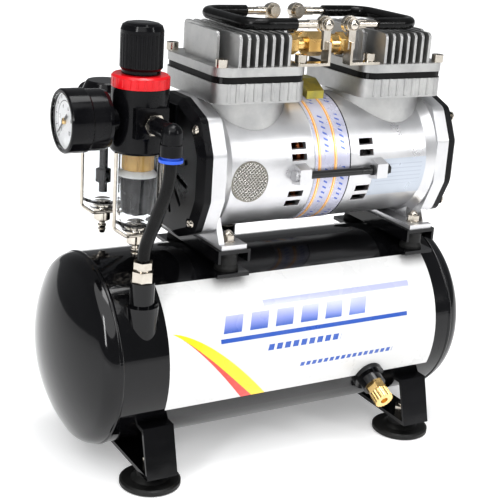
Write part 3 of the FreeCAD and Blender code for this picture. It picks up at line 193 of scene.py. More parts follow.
finishes = {
    "blackEnamel": dict(colour=(0.003, 0.003, 0.0035), second=(0.006, 0.006, 0.007), roughness=(0.06, 0.13),
                        ior=1.36, coat=0.25, coatRoughness=0.03, grain=0.02, driftScale=14.0, waves=34.0,
                        wear=0.06, wearColour=(0.10, 0.10, 0.10)),
    "castSilver": dict(colour=(0.60, 0.60, 0.61), second=(0.70, 0.70, 0.71), metallic=0.85,
                       roughness=(0.26, 0.38), grain=0.3, grainScale=1200.0, grainDepth=0.00015,
                       driftScale=26.0),
    "blastedAluminium": dict(colour=(0.40, 0.40, 0.40), second=(0.52, 0.52, 0.51), metallic=0.9,
                             roughness=(0.30, 0.46), grain=0.5, grainScale=1500.0, grainDepth=0.00025,
                             driftScale=60.0, softEdge=0.5 * mm, wear=0.3, wearColour=(0.75, 0.75, 0.75)),
    "nickel": dict(colour=(0.62, 0.58, 0.52), second=(0.48, 0.44, 0.38), metallic=1.0,
                   roughness=(0.10, 0.24), grain=0.10, driftScale=90.0, softEdge=0.25 * mm),
    "brass": dict(colour=(0.86, 0.62, 0.28), second=(0.72, 0.47, 0.18), metallic=1.0,
                  roughness=(0.16, 0.32), grain=0.15, driftScale=80.0, softEdge=0.25 * mm),
    "glossPlastic": dict(colour=(0.004, 0.004, 0.005), second=(0.008, 0.008, 0.009), ior=1.30,
                         roughness=(0.10, 0.22), grain=0.08, grainScale=1100.0, driftScale=50.0,
                         softEdge=0.4 * mm),
    "coverPlastic": dict(colour=(0.004, 0.004, 0.005), second=(0.009, 0.009, 0.010), ior=1.28,
                         roughness=(0.24, 0.36), grain=0.25, grainScale=1300.0, driftScale=40.0,
                         softEdge=0.6 * mm),
    "blackRubber": dict(colour=(0.008, 0.008, 0.008), second=(0.018, 0.018, 0.017), ior=1.4,
                        roughness=(0.42, 0.58), grain=0.3, grainScale=1000.0, driftScale=70.0,
                        softEdge=0.3 * mm),
    "gasket": dict(colour=(0.004, 0.004, 0.004), second=(0.008, 0.008, 0.008), ior=1.3,
                   roughness=(0.40, 0.55), grain=0.2),
    "vinylSleeve": dict(colour=(0.004, 0.004, 0.004), second=(0.009, 0.009, 0.009), ior=1.28,
                        roughness=(0.12, 0.24), grain=0.12, waves=220.0, driftScale=60.0),
    "machinedSteel": dict(colour=(0.52, 0.52, 0.53), second=(0.40, 0.40, 0.41), metallic=1.0,
                          roughness=(0.22, 0.38), grain=0.25, softEdge=0.2 * mm),
    "yellowZinc": dict(colour=(0.42, 0.36, 0.08), second=(0.26, 0.25, 0.10), metallic=0.8,
                       roughness=(0.30, 0.45), grain=0.2, driftScale=120.0, softEdge=0.3 * mm),
    "varnishedCopper": dict(colour=(0.55, 0.20, 0.08), second=(0.42, 0.13, 0.05), metallic=0.9,
                            roughness=(0.22, 0.34), grain=0.5, grainScale=700.0),
    "redPlastic": dict(colour=(0.72, 0.010, 0.018), second=(0.60, 0.006, 0.012), roughness=(0.18, 0.28),
                       grain=0.06, driftScale=60.0, softEdge=0.4 * mm),
    "bluePlastic": dict(colour=(0.03, 0.13, 0.70), second=(0.02, 0.09, 0.55), roughness=(0.18, 0.28),
                        grain=0.05, softEdge=0.3 * mm),
    "needlePaint": dict(colour=(0.012, 0.012, 0.012), second=(0.02, 0.02, 0.02), roughness=(0.35, 0.45),
                        grain=0.05),
    "sinteredFilter": dict(colour=(0.66, 0.42, 0.13), second=(0.52, 0.32, 0.10), roughness=(0.7, 0.85),
                           grain=0.8, grainScale=1600.0, grainDepth=0.0003, driftScale=140.0),
    "whiteNylon": dict(colour=(0.80, 0.80, 0.78), second=(0.72, 0.72, 0.70), roughness=(0.35, 0.5),
                       grain=0.1),
}
shop = {name: shopFinish(name, look) for name, look in finishes.items()}


# A bolt finish that turns to black between two places along an axis, as where it passes a gasket.
def boltFinish(name, look, axis, low, high, black=(0.008, 0.008, 0.008)):
    material = shopFinish(name, look)
    tree = material.node_tree
    shader = tree.nodes["Principled BSDF"]
    split = tree.nodes.new("ShaderNodeSeparateXYZ")
    tree.links.new(objectCoords(tree), split.inputs["Vector"])
    covered = between(tree, split.outputs[axis], low, high)
    colour = shader.inputs["Base Color"].links[0].from_socket
    tree.links.new(mixColours(tree, covered, colour, black), shader.inputs["Base Color"])
    tree.links.new(mathOf(tree, "SUBTRACT", 1.0, covered), shader.inputs["Metallic"])
    return material


plateLow, plateHigh = boxOf("valve_plates")[:2]
boltLook = dict(gasketMargin=0.3 * mm, tieFrom=-0.5 * mm, tieTo=1.0)
shop["headBolt"] = boltFinish("headBolt", finishes["nickel"], "Z",
                              plateLow.z - boltLook["gasketMargin"], plateHigh.z + boltLook["gasketMargin"])
shop["tieBolt"] = boltFinish("tieBolt", finishes["machinedSteel"], "X",
                             boltLook["tieFrom"], boltLook["tieTo"])

nodeFinish = {
    "blackEnamel": "tank_shell tank_ends leg_straps mount_bars unit_bracket",
    "castSilver": "motor_housing_left motor_housing_right stator_core",
    "blastedAluminium": "cylinders cylinder_head_left cylinder_head_right piston_left piston_right",
    "nickel": "mount_fasteners pipe_nuts cover_screws handle_straps pivot_bolts filter_drain_nuts "
              "handle_left handle_right bowl_bails drain_stem_front drain_stem_rear",
    "brass": "transfer_tube drain_valve tank_drain_knob",
    "glossPlastic": "regulator_body rear_filter_body regulator_knob gauge_case elbow_fitting switch_box",
    "coverPlastic": "end_covers cooling_fans",
    "blackRubber": "foot_pads rubber_isolators",
    "gasket": "valve_plates",
    "vinylSleeve": "air_hose discharge_hose grip_left grip_right",
    "headBolt": "head_bolts",
    "tieBolt": "tie_bolts",
    "machinedSteel": "shaft_bearings crankshaft rotor_core adjusting_screw regulator_spring intake_screens",
    "yellowZinc": "terminal_cover",
    "varnishedCopper": "stator_windings",
    "redPlastic": "regulator_ring switch_rocker",
    "bluePlastic": "release_collar",
    "needlePaint": "gauge_needle",
    "sinteredFilter": "filter_elements",
    "whiteNylon": "gauge_dial",
}
for finishName, wanted in nodeFinish.items():
    for nodeName in wanted.split():
        part = nodes[nodeName]
        part.data.materials.clear()
        part.data.materials.append(shop[finishName])
print("finishes on CAD nodes")


def addMesh(name, verts, faces, material, smooth=True):
    mesh = bpy.data.meshes.new(name)
    mesh.from_pydata([tuple(v) for v in verts], [], faces)
    mesh.validate()
    obj = bpy.data.objects.new(name, mesh)
    bpy.context.scene.collection.objects.link(obj)
    mesh.materials.append(material)
    if smooth:
        mesh.shade_smooth()
    return obj


# A lathe: profile is (radius, height) pairs about +Z, turned to axis and set at base.
def lathe(profile, base, axis, steps=96):
    turn = Vector((0, 0, 1)).rotation_difference(Vector(axis)).to_matrix()
    verts = []
    faces = []
    count = len(profile)
    for i in range(steps):
        angle = 2 * math.pi * i / steps
        for radius, height in profile:
            point = Vector((radius * math.cos(angle), radius * math.sin(angle), height))
            verts.append(turn @ point + Vector(base))
    for i in range(steps):
        j = (i + 1) % steps
        for k in range(count - 1):
            faces.append((i * count + k, j * count + k, j * count + k + 1, i * count + k + 1))
    return verts, faces


def markSharp(piece, degrees):
    piece.data.shade_smooth()
    modifier = piece.modifiers.new("keepCrisp", "EDGE_SPLIT")
    modifier.split_angle = math.radians(degrees)


# A sheet wrapped on a cylinder along X, with UVs in metres from its lower left corner.
def wrappedSheet(name, look, centre, material):
    rows = look["rows"]
    columns = look["columns"]
    low = math.radians(look["fromDegrees"])
    high = math.radians(look["toDegrees"])
    verts = []
    uvs = []
    for lift in (0.0, look["thickness"]):
        radius = look["radius"] + lift
        for r in range(rows + 1):
            angle = low + (high - low) * r / rows
            for c in range(columns + 1):
                x = look["left"] + (look["right"] - look["left"]) * c / columns
                verts.append((x, centre.y - radius * math.cos(angle), centre.z + radius * math.sin(angle)))
                uvs.append((x - look["left"], (angle - low) * look["radius"]))
    layer = (rows + 1) * (columns + 1)
    faces = []
    for r in range(rows):
        for c in range(columns):
            a = r * (columns + 1) + c
            b = a + columns + 1
            faces.append((layer + a, layer + a + 1, layer + b + 1, layer + b))
            faces.append((b, b + 1, a + 1, a))
    # the rim runs once round the sheet and joins its two layers
    rim = list(range(columns + 1))
    rim += [(r + 1) * (columns + 1) - 1 for r in range(1, rows + 1)]
    rim += [rows * (columns + 1) + c for c in range(columns - 1, -1, -1)]
    rim += [r * (columns + 1) for r in range(rows - 1, 0, -1)]
    for a, b in zip(rim, rim[1:] + rim[:1]):
        faces.append((a, b, layer + b, layer + a))
    sheet = addMesh(name, verts, faces, material)
    uvLayer = sheet.data.uv_layers.new(name="sheetUV")
    for loop in sheet.data.loops:
        uvLayer.data[loop.index].uv = uvs[loop.vertex_index]
    markSharp(sheet, 40)
    return sheet


# The dished ends and the weld beads where they meet the shell.
seamLook = dict(inset=27.0 * mm, bead=1.1 * mm, flatness=1.5, sunk=0.55 * mm, ripple=0.05, ripples=190,
                swell=0.1, swells=7.0, swellStart=1.3, steps=450, sides=10)
dishLook = dict(knuckle=13.0 * mm, straight=6.0 * mm, wall=1.6 * mm, knuckleSteps=14, crownSteps=26,
                around=144, crispDegrees=50)


# A dished end is a knuckle arc that runs into a shallow crown arc; both are worked out from
# the tank's radius, the knuckle and how far the dish stands out.
def dishProfile(look, shrink):
    depth = seamLook["inset"]
    knuckle = look["knuckle"]
    offset = tankRadius - knuckle
    crown = (offset ** 2 + depth ** 2 - knuckle ** 2) / (2 * (depth - knuckle))
    meet = math.asin(offset / (crown - knuckle))
    points = [(tankRadius - shrink, -look["straight"])]
    for k in range(look["knuckleSteps"] + 1):
        angle = (math.pi / 2 - meet) * k / look["knuckleSteps"]
        reach = knuckle - shrink
        points.append((offset + reach * math.cos(angle), reach * math.sin(angle)))
    for k in range(1, look["crownSteps"]):
        angle = meet * (1 - k / look["crownSteps"])
        reach = crown - shrink
        points.append((reach * math.sin(angle), depth - crown + reach * math.cos(angle)))
    return points, depth - shrink


def makeDish(name, seamX, direction, look):
    outer, outerTop = dishProfile(look, 0.0)
    inner, innerTop = dishProfile(look, look["wall"])
    profile = outer + inner[::-1]
    count = len(profile)
    around = look["around"]
    verts = []
    faces = []
    for i in range(around):
        angle = 2 * math.pi * i / around
        for radius, height in profile:
            y = tankMid.y + radius * math.cos(angle)
            z = tankMid.z + radius * math.sin(angle)
            verts.append((seamX + direction * height, y, z))
    tops = (len(verts), len(verts) + 1)
    verts.append((seamX + direction * outerTop, tankMid.y, tankMid.z))
    verts.append((seamX + direction * innerTop, tankMid.y, tankMid.z))
    last = len(outer) - 1
    for i in range(around):
        j = (i + 1) % around
        for k in range(count):
            if k == last:
                continue
            n = (k + 1) % count
            faces.append((i * count + k, j * count + k, j * count + n, i * count + n))
        faces.append((i * count + last, j * count + last, tops[0]))
        faces.append((j * count + last + 1, i * count + last + 1, tops[1]))
    if direction < 0:
        faces = [face[::-1] for face in faces]
    dish = addMesh(name, verts, faces, shop["blackEnamel"])
    markSharp(dish, look["crispDegrees"])
    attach(dish, "frame")
    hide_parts("tank_ends")


def makeSeam(name, x, look):
    verts = []
    faces = []
    middle = tankRadius - look["sunk"]
    sides = look["sides"]
    for i in range(look["steps"]):
        angle = 2 * math.pi * i / look["steps"]
        ripple = look["ripple"] * math.cos(angle * look["ripples"])
        size = 1.0 + ripple + look["swell"] * math.sin(angle * look["swells"] + look["swellStart"])
        for s in range(sides):
            around = 2 * math.pi * s / sides
            radius = middle + look["bead"] * size * math.sin(around)
            verts.append((x + look["flatness"] * look["bead"] * size * math.cos(around),
                          tankMid.y - radius * math.cos(angle), tankMid.z + radius * math.sin(angle)))
    for i in range(look["steps"]):
        j = (i + 1) % look["steps"]
        for s in range(sides):
            t = (s + 1) % sides
            faces.append((i * sides + s, i * sides + t, j * sides + t, j * sides + s))
    seam = addMesh(name, verts, faces, shop["blackEnamel"])
    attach(seam, "frame")


makeDish("dishedEndLeft", tankLow.x + seamLook["inset"], -1, dishLook)
makeDish("dishedEndRight", tankHigh.x - seamLook["inset"], 1, dishLook)
print("dished ends")
makeSeam("weldSeamLeft", tankLow.x + seamLook["inset"], seamLook)
makeSeam("weldSeamRight", tankHigh.x - seamLook["inset"], seamLook)
print("weld seams")


# Places on the label are in millimetres from its lower left corner. A bar is (low, high, left, right),
# and a row of leaning dashes adds its pitch and the width of one dash.
labelLook = dict(left=-93.5 * mm, right=112.3 * mm, fromDegrees=-23.4, toDegrees=54.6, thickness=0.15 * mm,
                 radius=tankRadius + 0.05 * mm, rows=48, columns=8, white=(0.68, 0.68, 0.675),
                 red=(0.80, 0.06, 0.05), yellow=(0.93, 0.66, 0.02), blue=(0.03, 0.10, 0.42),
                 lilac=(0.42, 0.44, 0.78), grime=(0.55, 0.54, 0.50), roughness=(0.22, 0.34), coat=0.4,
                 coatRoughness=0.12, stripeStart=3.0, stripeTop=52.0,
                 stripeEdges=((0.09, 1.5), (0.449, 1.164), (0.393, 1.241)),
                 lilacBar=(61.5, 65.5, 70.0, 186.0), blueBar=(41.5, 44.3, 36.0, 181.0), lean=0.3,
                 blocks=(47.5, 58.5, 24.0, 134.0, 19.0, 13.0), dashes=(32.5, 36.5, 60.0, 116.0, 6.2, 4.2),
                 fineDashes=(17.5, 20.3, 90.0, 164.0, 4.6, 3.0))


def labelInk(look):
    material, tree, shader = newMaterial("labelInk")
    across, up = sheetPlace(tree)
    run = mathOf(tree, "MAXIMUM", mathOf(tree, "SUBTRACT", across, look["stripeStart"]), 0.0)
    started = mathOf(tree, "GREATER_THAN", run, 0.5)
    lean = mathOf(tree, "SUBTRACT", across, mathOf(tree, "MULTIPLY", up, look["lean"]))

    # each edge of the two curved stripes falls away as a power of the distance from their start
    def stripeEdge(factor, power):
        fall = mathOf(tree, "MULTIPLY", mathOf(tree, "POWER", run, power), factor)
        return mathOf(tree, "SUBTRACT", look["stripeTop"], fall)

    def stripe(upper, lower):
        under = mathOf(tree, "LESS_THAN", up, upper)
        return both(tree, started, under, mathOf(tree, "GREATER_THAN", up, lower))

    def bar(low, high, left, right):
        return both(tree, between(tree, up, low, high), between(tree, across, left, right))

    def leaningRow(low, high, left, right, pitch, width):
        cell = mathOf(tree, "MODULO", mathOf(tree, "SUBTRACT", lean, left), pitch)
        row = both(tree, between(tree, up, low, high), between(tree, lean, left, right))
        return both(tree, row, mathOf(tree, "LESS_THAN", cell, width))

    top, middle, bottom = [stripeEdge(factor, power) for factor, power in look["stripeEdges"]]
    blocks = look["blocks"]
    shade = mixColours(tree, remap(tree, up, blocks[0], blocks[1], 0.0, 1.0), look["blue"], look["lilac"])
    prints = ((stripe(top, middle), look["yellow"]), (stripe(middle, bottom), look["red"]),
              (bar(*look["lilacBar"]), look["lilac"]), (bar(*look["blueBar"]), look["blue"]),
              (leaningRow(*blocks), shade), (leaningRow(*look["dashes"]), look["blue"]),
              (leaningRow(*look["fineDashes"]), look["blue"]))
    colour = look["white"]
    for mask, ink in prints:
        colour = mixColours(tree, mask, colour, ink)
    grime = remap(tree, noiseOf(tree, objectCoords(tree), 60.0, 6.0, 0.65), 0.5, 0.8, 0.0, 0.10)
    tree.links.new(mixColours(tree, grime, colour, look["grime"]), shader.inputs["Base Color"])
    wanderingRoughness(tree, shader, 40.0, *look["roughness"])
    gentleBump(tree, shader, 25.0, 0.2, 0.0004)
    shader.inputs["Coat Weight"].default_value = look["coat"]
    shader.inputs["Coat Roughness"].default_value = look["coatRoughness"]
    return material


tankLabel = wrappedSheet("tankLabel", labelLook, tankMid, labelInk(labelLook))
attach(tankLabel, "frame")
print("tank label")


# The printed band round the stator. Places on it are in millimetres, as on the label.
bandLook = dict(left=statorLow.x + 0.2 * mm, right=statorHigh.x - 1.4 * mm, fromDegrees=-80.0,
                toDegrees=260.0, thickness=0.12 * mm, radius=motorRadius + 0.42 * mm, rows=120, columns=4,
                base=(0.46, 0.46, 0.58), pale=(0.60, 0.60, 0.70), orange=(0.86, 0.38, 0.06),
                cream=(0.95, 0.80, 0.55), black=(0.01, 0.01, 0.012), ink=(0.10, 0.16, 0.50), metallic=0.35,
                roughness=(0.22, 0.34), stripes=(3.2, 15.5), stripeHalf=1.1, creamShift=0.3, creamHalf=0.3,
                joint=27.0, jointHalf=0.45, dashRows=(9.0, 21.5), dashHalf=1.5, slant=0.5, dashPitch=4.0,
                dashWidth=1.3, groupPitch=36.0, groupWidth=26.0)


def bandInk(look):
    material, tree, shader = newMaterial("bandInk")
    across, around = sheetPlace(tree)

    def stripe(centre, half):
        away = mathOf(tree, "ABSOLUTE", mathOf(tree, "SUBTRACT", across, centre))
        return mathOf(tree, "LESS_THAN", away, half)

    drift = remap(tree, noiseOf(tree, objectCoords(tree), 50.0), 0.3, 0.7, 0.0, 1.0)
    colour = mixColours(tree, drift, look["base"], look["pale"])
    for centre in look["stripes"]:
        colour = mixColours(tree, stripe(centre, look["stripeHalf"]), colour, look["orange"])
        middle = stripe(centre + look["creamShift"], look["creamHalf"])
        colour = mixColours(tree, middle, colour, look["cream"])
    colour = mixColours(tree, stripe(look["joint"], look["jointHalf"]), colour, look["black"])
    slanted = mathOf(tree, "ADD", around, mathOf(tree, "MULTIPLY", across, look["slant"]))
    dash = mathOf(tree, "LESS_THAN", mathOf(tree, "MODULO", slanted, look["dashPitch"]), look["dashWidth"])
    group = mathOf(tree, "LESS_THAN", mathOf(tree, "MODULO", around, look["groupPitch"]), look["groupWidth"])
    for centre in look["dashRows"]:
        marks = both(tree, dash, group, stripe(centre, look["dashHalf"]))
        colour = mixColours(tree, marks, colour, look["ink"])
    tree.links.new(colour, shader.inputs["Base Color"])
    shader.inputs["Metallic"].default_value = look["metallic"]
    wanderingRoughness(tree, shader, 70.0, *look["roughness"])
    gentleBump(tree, shader, 30.0, 0.15, 0.0003)
    return material


bandPrint = wrappedSheet("bandPrint", bandLook, statorMid, bandInk(bandLook))
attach(bandPrint, "frame")
print("band print")


# The clear bowls, and the moulding they share with the gauge glass.
def clearMoulding(name, look):
    material, tree, shader = newMaterial(name)
    coords = objectCoords(tree)
    shader.inputs["Base Color"].default_value = (*look["tint"], 1.0)
    shader.inputs["Transmission Weight"].default_value = 1.0
    shader.inputs["IOR"].default_value = look["ior"]
    haze = noiseOf(tree, coords, look["hazeScale"], 4.0, 0.6)
    tree.links.new(remap(tree, haze, 0.35, 0.75, 0.0, look["haze"]), shader.inputs["Roughness"])
    normal = bumpOf(tree, noiseOf(tree, coords, 60.0, 2.0), look["waves"], 0.0003)
    tree.links.new(normal, shader.inputs["Normal"])
    return material


glassLook = dict(tint=(0.97, 0.98, 0.99), ior=1.35, hazeScale=90.0, haze=0.06, waves=0.12)
lensLook = dict(tint=(0.99, 0.99, 0.99), ior=1.12, hazeScale=50.0, haze=0.04, waves=0.03)
bowls = nodes["filter_bowls"]
bowls.data.materials.clear()
bowls.data.materials.append(clearMoulding("clearBowl", glassLook))
print("clear bowls")


# The inserts inside the bowls. Radii and heights are in millimetres.
insertLow, insertHigh = boxOf("filter_elements")[:2]
bowlAxes = {"Front": boxOf("drain_stem_front")[2], "Rear": boxOf("drain_stem_rear")[2]}
insertLook = dict(top=insertHigh.z - 0.3 * mm, foot=insertLow.z, sleeveRadius=9.8,
                  sleeveHeight=dict(Front=17.0, Rear=10.0), seams=8, seamDepth=0.07, seamShare=0.06,
                  discRadius=12.0, discHeight=4.4, scallops=14, scallopDepth=0.018, chamberRadius=10.2,
                  chamberHeight=24.0, fins=12, finDepth=0.06, stemRadius=2.8, floatRadius=5.0)


# Rings of points whose radius follows wave(angle), stacked into a closed piece.
def ringStack(name, centre, rings, wave, material, steps=144):
    verts = []
    faces = []
    for radius, z in rings:
        for i in range(steps):
            angle = 2 * math.pi * i / steps
            reach = radius * mm * (1.0 + wave(angle))
            verts.append((centre.x + reach * math.cos(angle), centre.y + reach * math.sin(angle), z))
    for r in range(len(rings) - 1):
        for i in range(steps):
            j = (i + 1) % steps
            faces.append((r * steps + i, r * steps + j, (r + 1) * steps + j, (r + 1) * steps + i))
    faces.append(tuple(range(steps - 1, -1, -1)))
    faces.append(tuple((len(rings) - 1) * steps + i for i in range(steps)))
    piece = addMesh(name, verts, faces, material)
    markSharp(piece, 35)
    return piece


def flat(angle):
    return 0.0


def makeInsert(side, centre, look):
    pieces = []
    top = look["top"]
    low = top - look["sleeveHeight"][side] * mm

    def seam(angle):
        phase = (angle * look["seams"] / (2 * math.pi)) % 1.0
        return -look["seamDepth"] if abs(phase - 0.5) < look["seamShare"] else 0.0

    def scallop(angle):
        return look["scallopDepth"] * math.cos(angle * look["scallops"])

    def fin(angle):
        wave = math.cos(angle * look["fins"] / 2)
        return look["finDepth"] * math.copysign(abs(wave) ** 0.5, wave)

    radius = look["sleeveRadius"]
    rings = [(radius - 0.6, low), (radius, low + 0.6 * mm), (radius, top - 2.2 * mm),
             (radius + 0.9, top - 2.0 * mm), (radius + 0.9, top - 0.3 * mm), (radius + 0.5, top)]
    pieces.append(ringStack("filterSleeve" + side, centre, rings, seam, shop["sinteredFilter"]))
    if side == "Front":
        discLow = low - look["discHeight"] * mm
        rim = look["discRadius"]
        rings = [(rim - 2.0, discLow), (rim - 0.2, discLow + 0.5 * mm), (rim, discLow + 1.4 * mm),
                 (rim - 0.6, discLow + 2.6 * mm), (rim - 3.5, low)]
        pieces.append(ringStack("filterBaffle" + side, centre, rings, scallop, shop["whiteNylon"]))
        wide = look["chamberRadius"]
        foot = discLow - look["chamberHeight"] * mm
        rings = [(wide - 4.0, foot), (wide - 1.6, foot + 1.5 * mm), (wide - 0.8, foot + 5 * mm),
                 (wide, discLow - 1.5 * mm), (wide - 0.8, discLow)]
        pieces.append(ringStack("floatChamber" + side, centre, rings, fin, shop["smokePlastic"]))
    else:
        stem = look["stemRadius"]
        ball = look["floatRadius"]
        foot = look["foot"]
        rings = [(stem, foot + 3 * mm), (stem, foot + 9 * mm), (ball, foot + 10 * mm),
                 (ball, foot + 18 * mm), (stem, foot + 19 * mm), (stem, low)]
        pieces.append(ringStack("floatStem" + side, centre, rings, flat, shop["smokePlastic"], 48))
    for piece in pieces:
        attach(piece, "frame")
        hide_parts("filter_elements")


smokeLook = dict(colour=(0.006, 0.006, 0.007), second=(0.03, 0.03, 0.032), ior=1.4, roughness=(0.08, 0.2),
                 grain=0.1, driftScale=260.0)
shop["smokePlastic"] = shopFinish("smokePlastic", smokeLook)
for side, centre in bowlAxes.items():
    makeInsert(side, centre, insertLook)
print("filter inserts")


# The gauge's print. Ring sizes are shares of the dial's radius.
dialLook = dict(ticks=50, majorEvery=5, sweepDegrees=270.0, tickOut=0.955, tickIn=0.90, majorIn=0.82,
                tickWidth=0.16, majorWidth=0.05, arc=(0.70, 0.73), sweepMargin=0.004,
                figures=(0, 2, 4, 6, 8, 10), figureSize=3.4 * mm, figureRing=0.5292, figureRaise=0.03 * mm,
                white=(0.86, 0.87, 0.88), ink=(0.02, 0.02, 0.025), roughness=(0.3, 0.4))


def dialPrint(look):
    material, tree, shader = newMaterial("dialPrint")
    split = tree.nodes.new("ShaderNodeSeparateXYZ")
    tree.links.new(objectCoords(tree), split.inputs["Vector"])
    sideways = mathOf(tree, "SUBTRACT", gaugeMid.y, split.outputs["Y"])
    upward = mathOf(tree, "SUBTRACT", split.outputs["Z"], gaugeMid.z)
    squares = mathOf(tree, "ADD", mathOf(tree, "MULTIPLY", sideways, sideways),
                     mathOf(tree, "MULTIPLY", upward, upward))
    share = mathOf(tree, "DIVIDE", mathOf(tree, "SQRT", squares), dialRadius)
    # turn clockwise from the lower left, 0 to 1 over the swept part
    sweep = math.radians(look["sweepDegrees"])
    turn = mathOf(tree, "ADD", mathOf(tree, "ARCTAN2", sideways, upward), sweep / 2)
    progress = mathOf(tree, "DIVIDE", turn, sweep)
    swept = between(tree, progress, -look["sweepMargin"], 1 + look["sweepMargin"])

    def tickRing(count, width, inner):
        phase = mathOf(tree, "PINGPONG", mathOf(tree, "MULTIPLY", progress, float(count)), 0.5)
        near = mathOf(tree, "LESS_THAN", phase, width)
        return both(tree, near, between(tree, share, inner, look["tickOut"]), swept)

    ticks = tickRing(look["ticks"], look["tickWidth"], look["tickIn"])
    majors = tickRing(look["ticks"] // look["majorEvery"], look["majorWidth"], look["majorIn"])
    arc = both(tree, between(tree, share, *look["arc"]), swept)
    marks = mathOf(tree, "MAXIMUM", mathOf(tree, "MAXIMUM", ticks, majors), arc)
    tree.links.new(mixColours(tree, marks, look["white"], look["ink"]), shader.inputs["Base Color"])
    wanderingRoughness(tree, shader, 200.0, *look["roughness"])
    gentleBump(tree, shader, 900.0, 0.05, 0.0001, detail=4.0)
    return material


# The gauge's plate, glass and pointer. Depths count from the front of the case, and the blade is
# (reach, half width) in millimetres from its tail to its tip.
caseFront = boxOf("gauge_case")[0].x
needleMid = boxOf("gauge_needle")[2]
faceLook = dict(glassFront=0.35 * mm, glassThick=0.8 * mm, pointerFront=1.7 * mm, pointerThick=0.4 * mm,
                hub=1.9 * mm, plateFront=3.0 * mm, plateThick=0.7 * mm,
                blade=((-6.5, 0.95), (0.0, 0.75), (4.0, 0.6), (13.4, 0.14)))
pinhole = 0.01 * mm   # a lathe's first radius, so that no edge has zero length


def makeFigures(look, frontX):
    face = Matrix(((0, 0, -1), (-1, 0, 0), (0, 1, 0))).to_4x4()   # reads from the left end
    reach = dialRadius * look["figureRing"]
    for number in look["figures"]:
        angle = math.radians(look["sweepDegrees"]) * (number / 10 - 0.5)
        text = bpy.data.curves.new("dialFigure", "FONT")
        text.body = str(number)
        text.size = look["figureSize"]
        text.align_x = "CENTER"
        text.align_y = "CENTER"
        text.extrude = look["figureRaise"]
        text.resolution_u = 3
        draft = bpy.data.objects.new("dialFigureDraft", text)
        mesh = bpy.data.meshes.new_from_object(draft)
        bpy.data.objects.remove(draft)
        spot = Vector((frontX - 0.04 * mm, gaugeMid.y - reach * math.sin(angle),
                       gaugeMid.z + reach * math.cos(angle)))
        mesh.transform(Matrix.Translation(spot) @ face)
        mesh.materials.clear()
        mesh.materials.append(shop["needlePaint"])
        figure = bpy.data.objects.new("dialFigure%d" % number, mesh)
        bpy.context.scene.collection.objects.link(figure)
        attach(figure, "frame")


def makePointer(look, frontX):
    toward = Vector((0, needleMid.y - gaugeMid.y, needleMid.z - gaugeMid.z)).normalized()
    across = Vector((1, 0, 0)).cross(toward)
    blade = look["blade"]
    outline = list(blade) + [(reach, -half) for reach, half in reversed(blade)]
    verts = []
    for x in (frontX, frontX + look["pointerThick"]):
        for reach, half in outline:
            verts.append(Vector((x, gaugeMid.y, gaugeMid.z)) + toward * reach * mm + across * half * mm)
    count = len(outline)
    faces = [tuple(range(count)), tuple(range(2 * count - 1, count - 1, -1))]
    faces += [(k, count + k, count + (k + 1) % count, (k + 1) % count) for k in range(count)]
    pointer = addMesh("gaugePointer", verts, faces, shop["needlePaint"], smooth=False)
    hub = look["hub"]
    profile = [(pinhole, -0.9 * mm), (hub, -0.9 * mm), (hub, 0.35 * mm), (hub - 0.4 * mm, 0.7 * mm),
               (pinhole, 0.8 * mm)]
    bossVerts, bossFaces = lathe(profile, (frontX, gaugeMid.y, gaugeMid.z), (-1, 0, 0), 40)
    boss = addMesh("gaugePointerBoss", bossVerts, bossFaces, shop["brass"])
    markSharp(boss, 40)
    for piece in (pointer, boss):
        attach(piece, "needle")
        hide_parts("gauge_needle")


def makeGaugeFace(look, printLook):
    centre = (caseFront, gaugeMid.y, gaugeMid.z)
    inward = (1, 0, 0)
    front = look["plateFront"]
    back = front + look["plateThick"]
    profile = [(pinhole, front), (dialRadius - 0.5 * mm, front), (dialRadius, front - 0.25 * mm),
               (dialRadius, back), (pinhole, back)]
    plate = addMesh("gaugeFace", *lathe(profile, centre, inward, 128), dialPrint(printLook))
    markSharp(plate, 30)
    front = look["glassFront"]
    back = front + look["glassThick"]
    bulge = dialRadius * 0.6
    profile = [(pinhole, front), (bulge, front + 0.08 * mm), (dialRadius, front + 0.3 * mm),
               (dialRadius, back + 0.3 * mm), (bulge, back + 0.1 * mm), (pinhole, back)]
    glassClear = clearMoulding("gaugeGlassClear", lensLook)
    glass = addMesh("gaugeGlass", *lathe(profile, centre, inward, 96), glassClear)
    markSharp(glass, 40)
    swaps = ((plate, "dial_white", "gauge_dial"), (glass, "clear_lens", "gauge_lens"))
    for piece, slotName, nodeName in swaps:
        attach(piece, "frame")
        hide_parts(nodeName)
    makeFigures(printLook, caseFront + look["plateFront"])
    makePointer(look, caseFront + look["pointerFront"])


makeGaugeFace(faceLook, dialLook)
print("gauge face")


# Woven wire over the air intakes. The pitch, wire radius and wave are in millimetres.
weaveLook = dict(pitch=1.75, wire=0.32, wave=0.30, leanDegrees=38.0, segments=5, stepsPerWave=6)


def roundWire(points, radius, sides, verts, faces):
    start = len(verts)
    for k, point in enumerate(points):
        ahead = points[min(k + 1, len(points) - 1)] - points[max(k - 1, 0)]
        across = ahead.cross(Vector((0, 1, 0))).normalized()
        other = across.cross(ahead).normalized()
        for s in range(sides):
            angle = 2 * math.pi * s / sides
            verts.append(point + across * radius * math.cos(angle) + other * radius * math.sin(angle))
    for k in range(len(points) - 1):
        for s in range(sides):
            t = (s + 1) % sides
            a = start + k * sides
            faces.append((a + s, a + t, a + sides + t, a + sides + s))
    faces.append(tuple(start + s for s in range(sides - 1, -1, -1)))
    faces.append(tuple(start + (len(points) - 1) * sides + s for s in range(sides)))


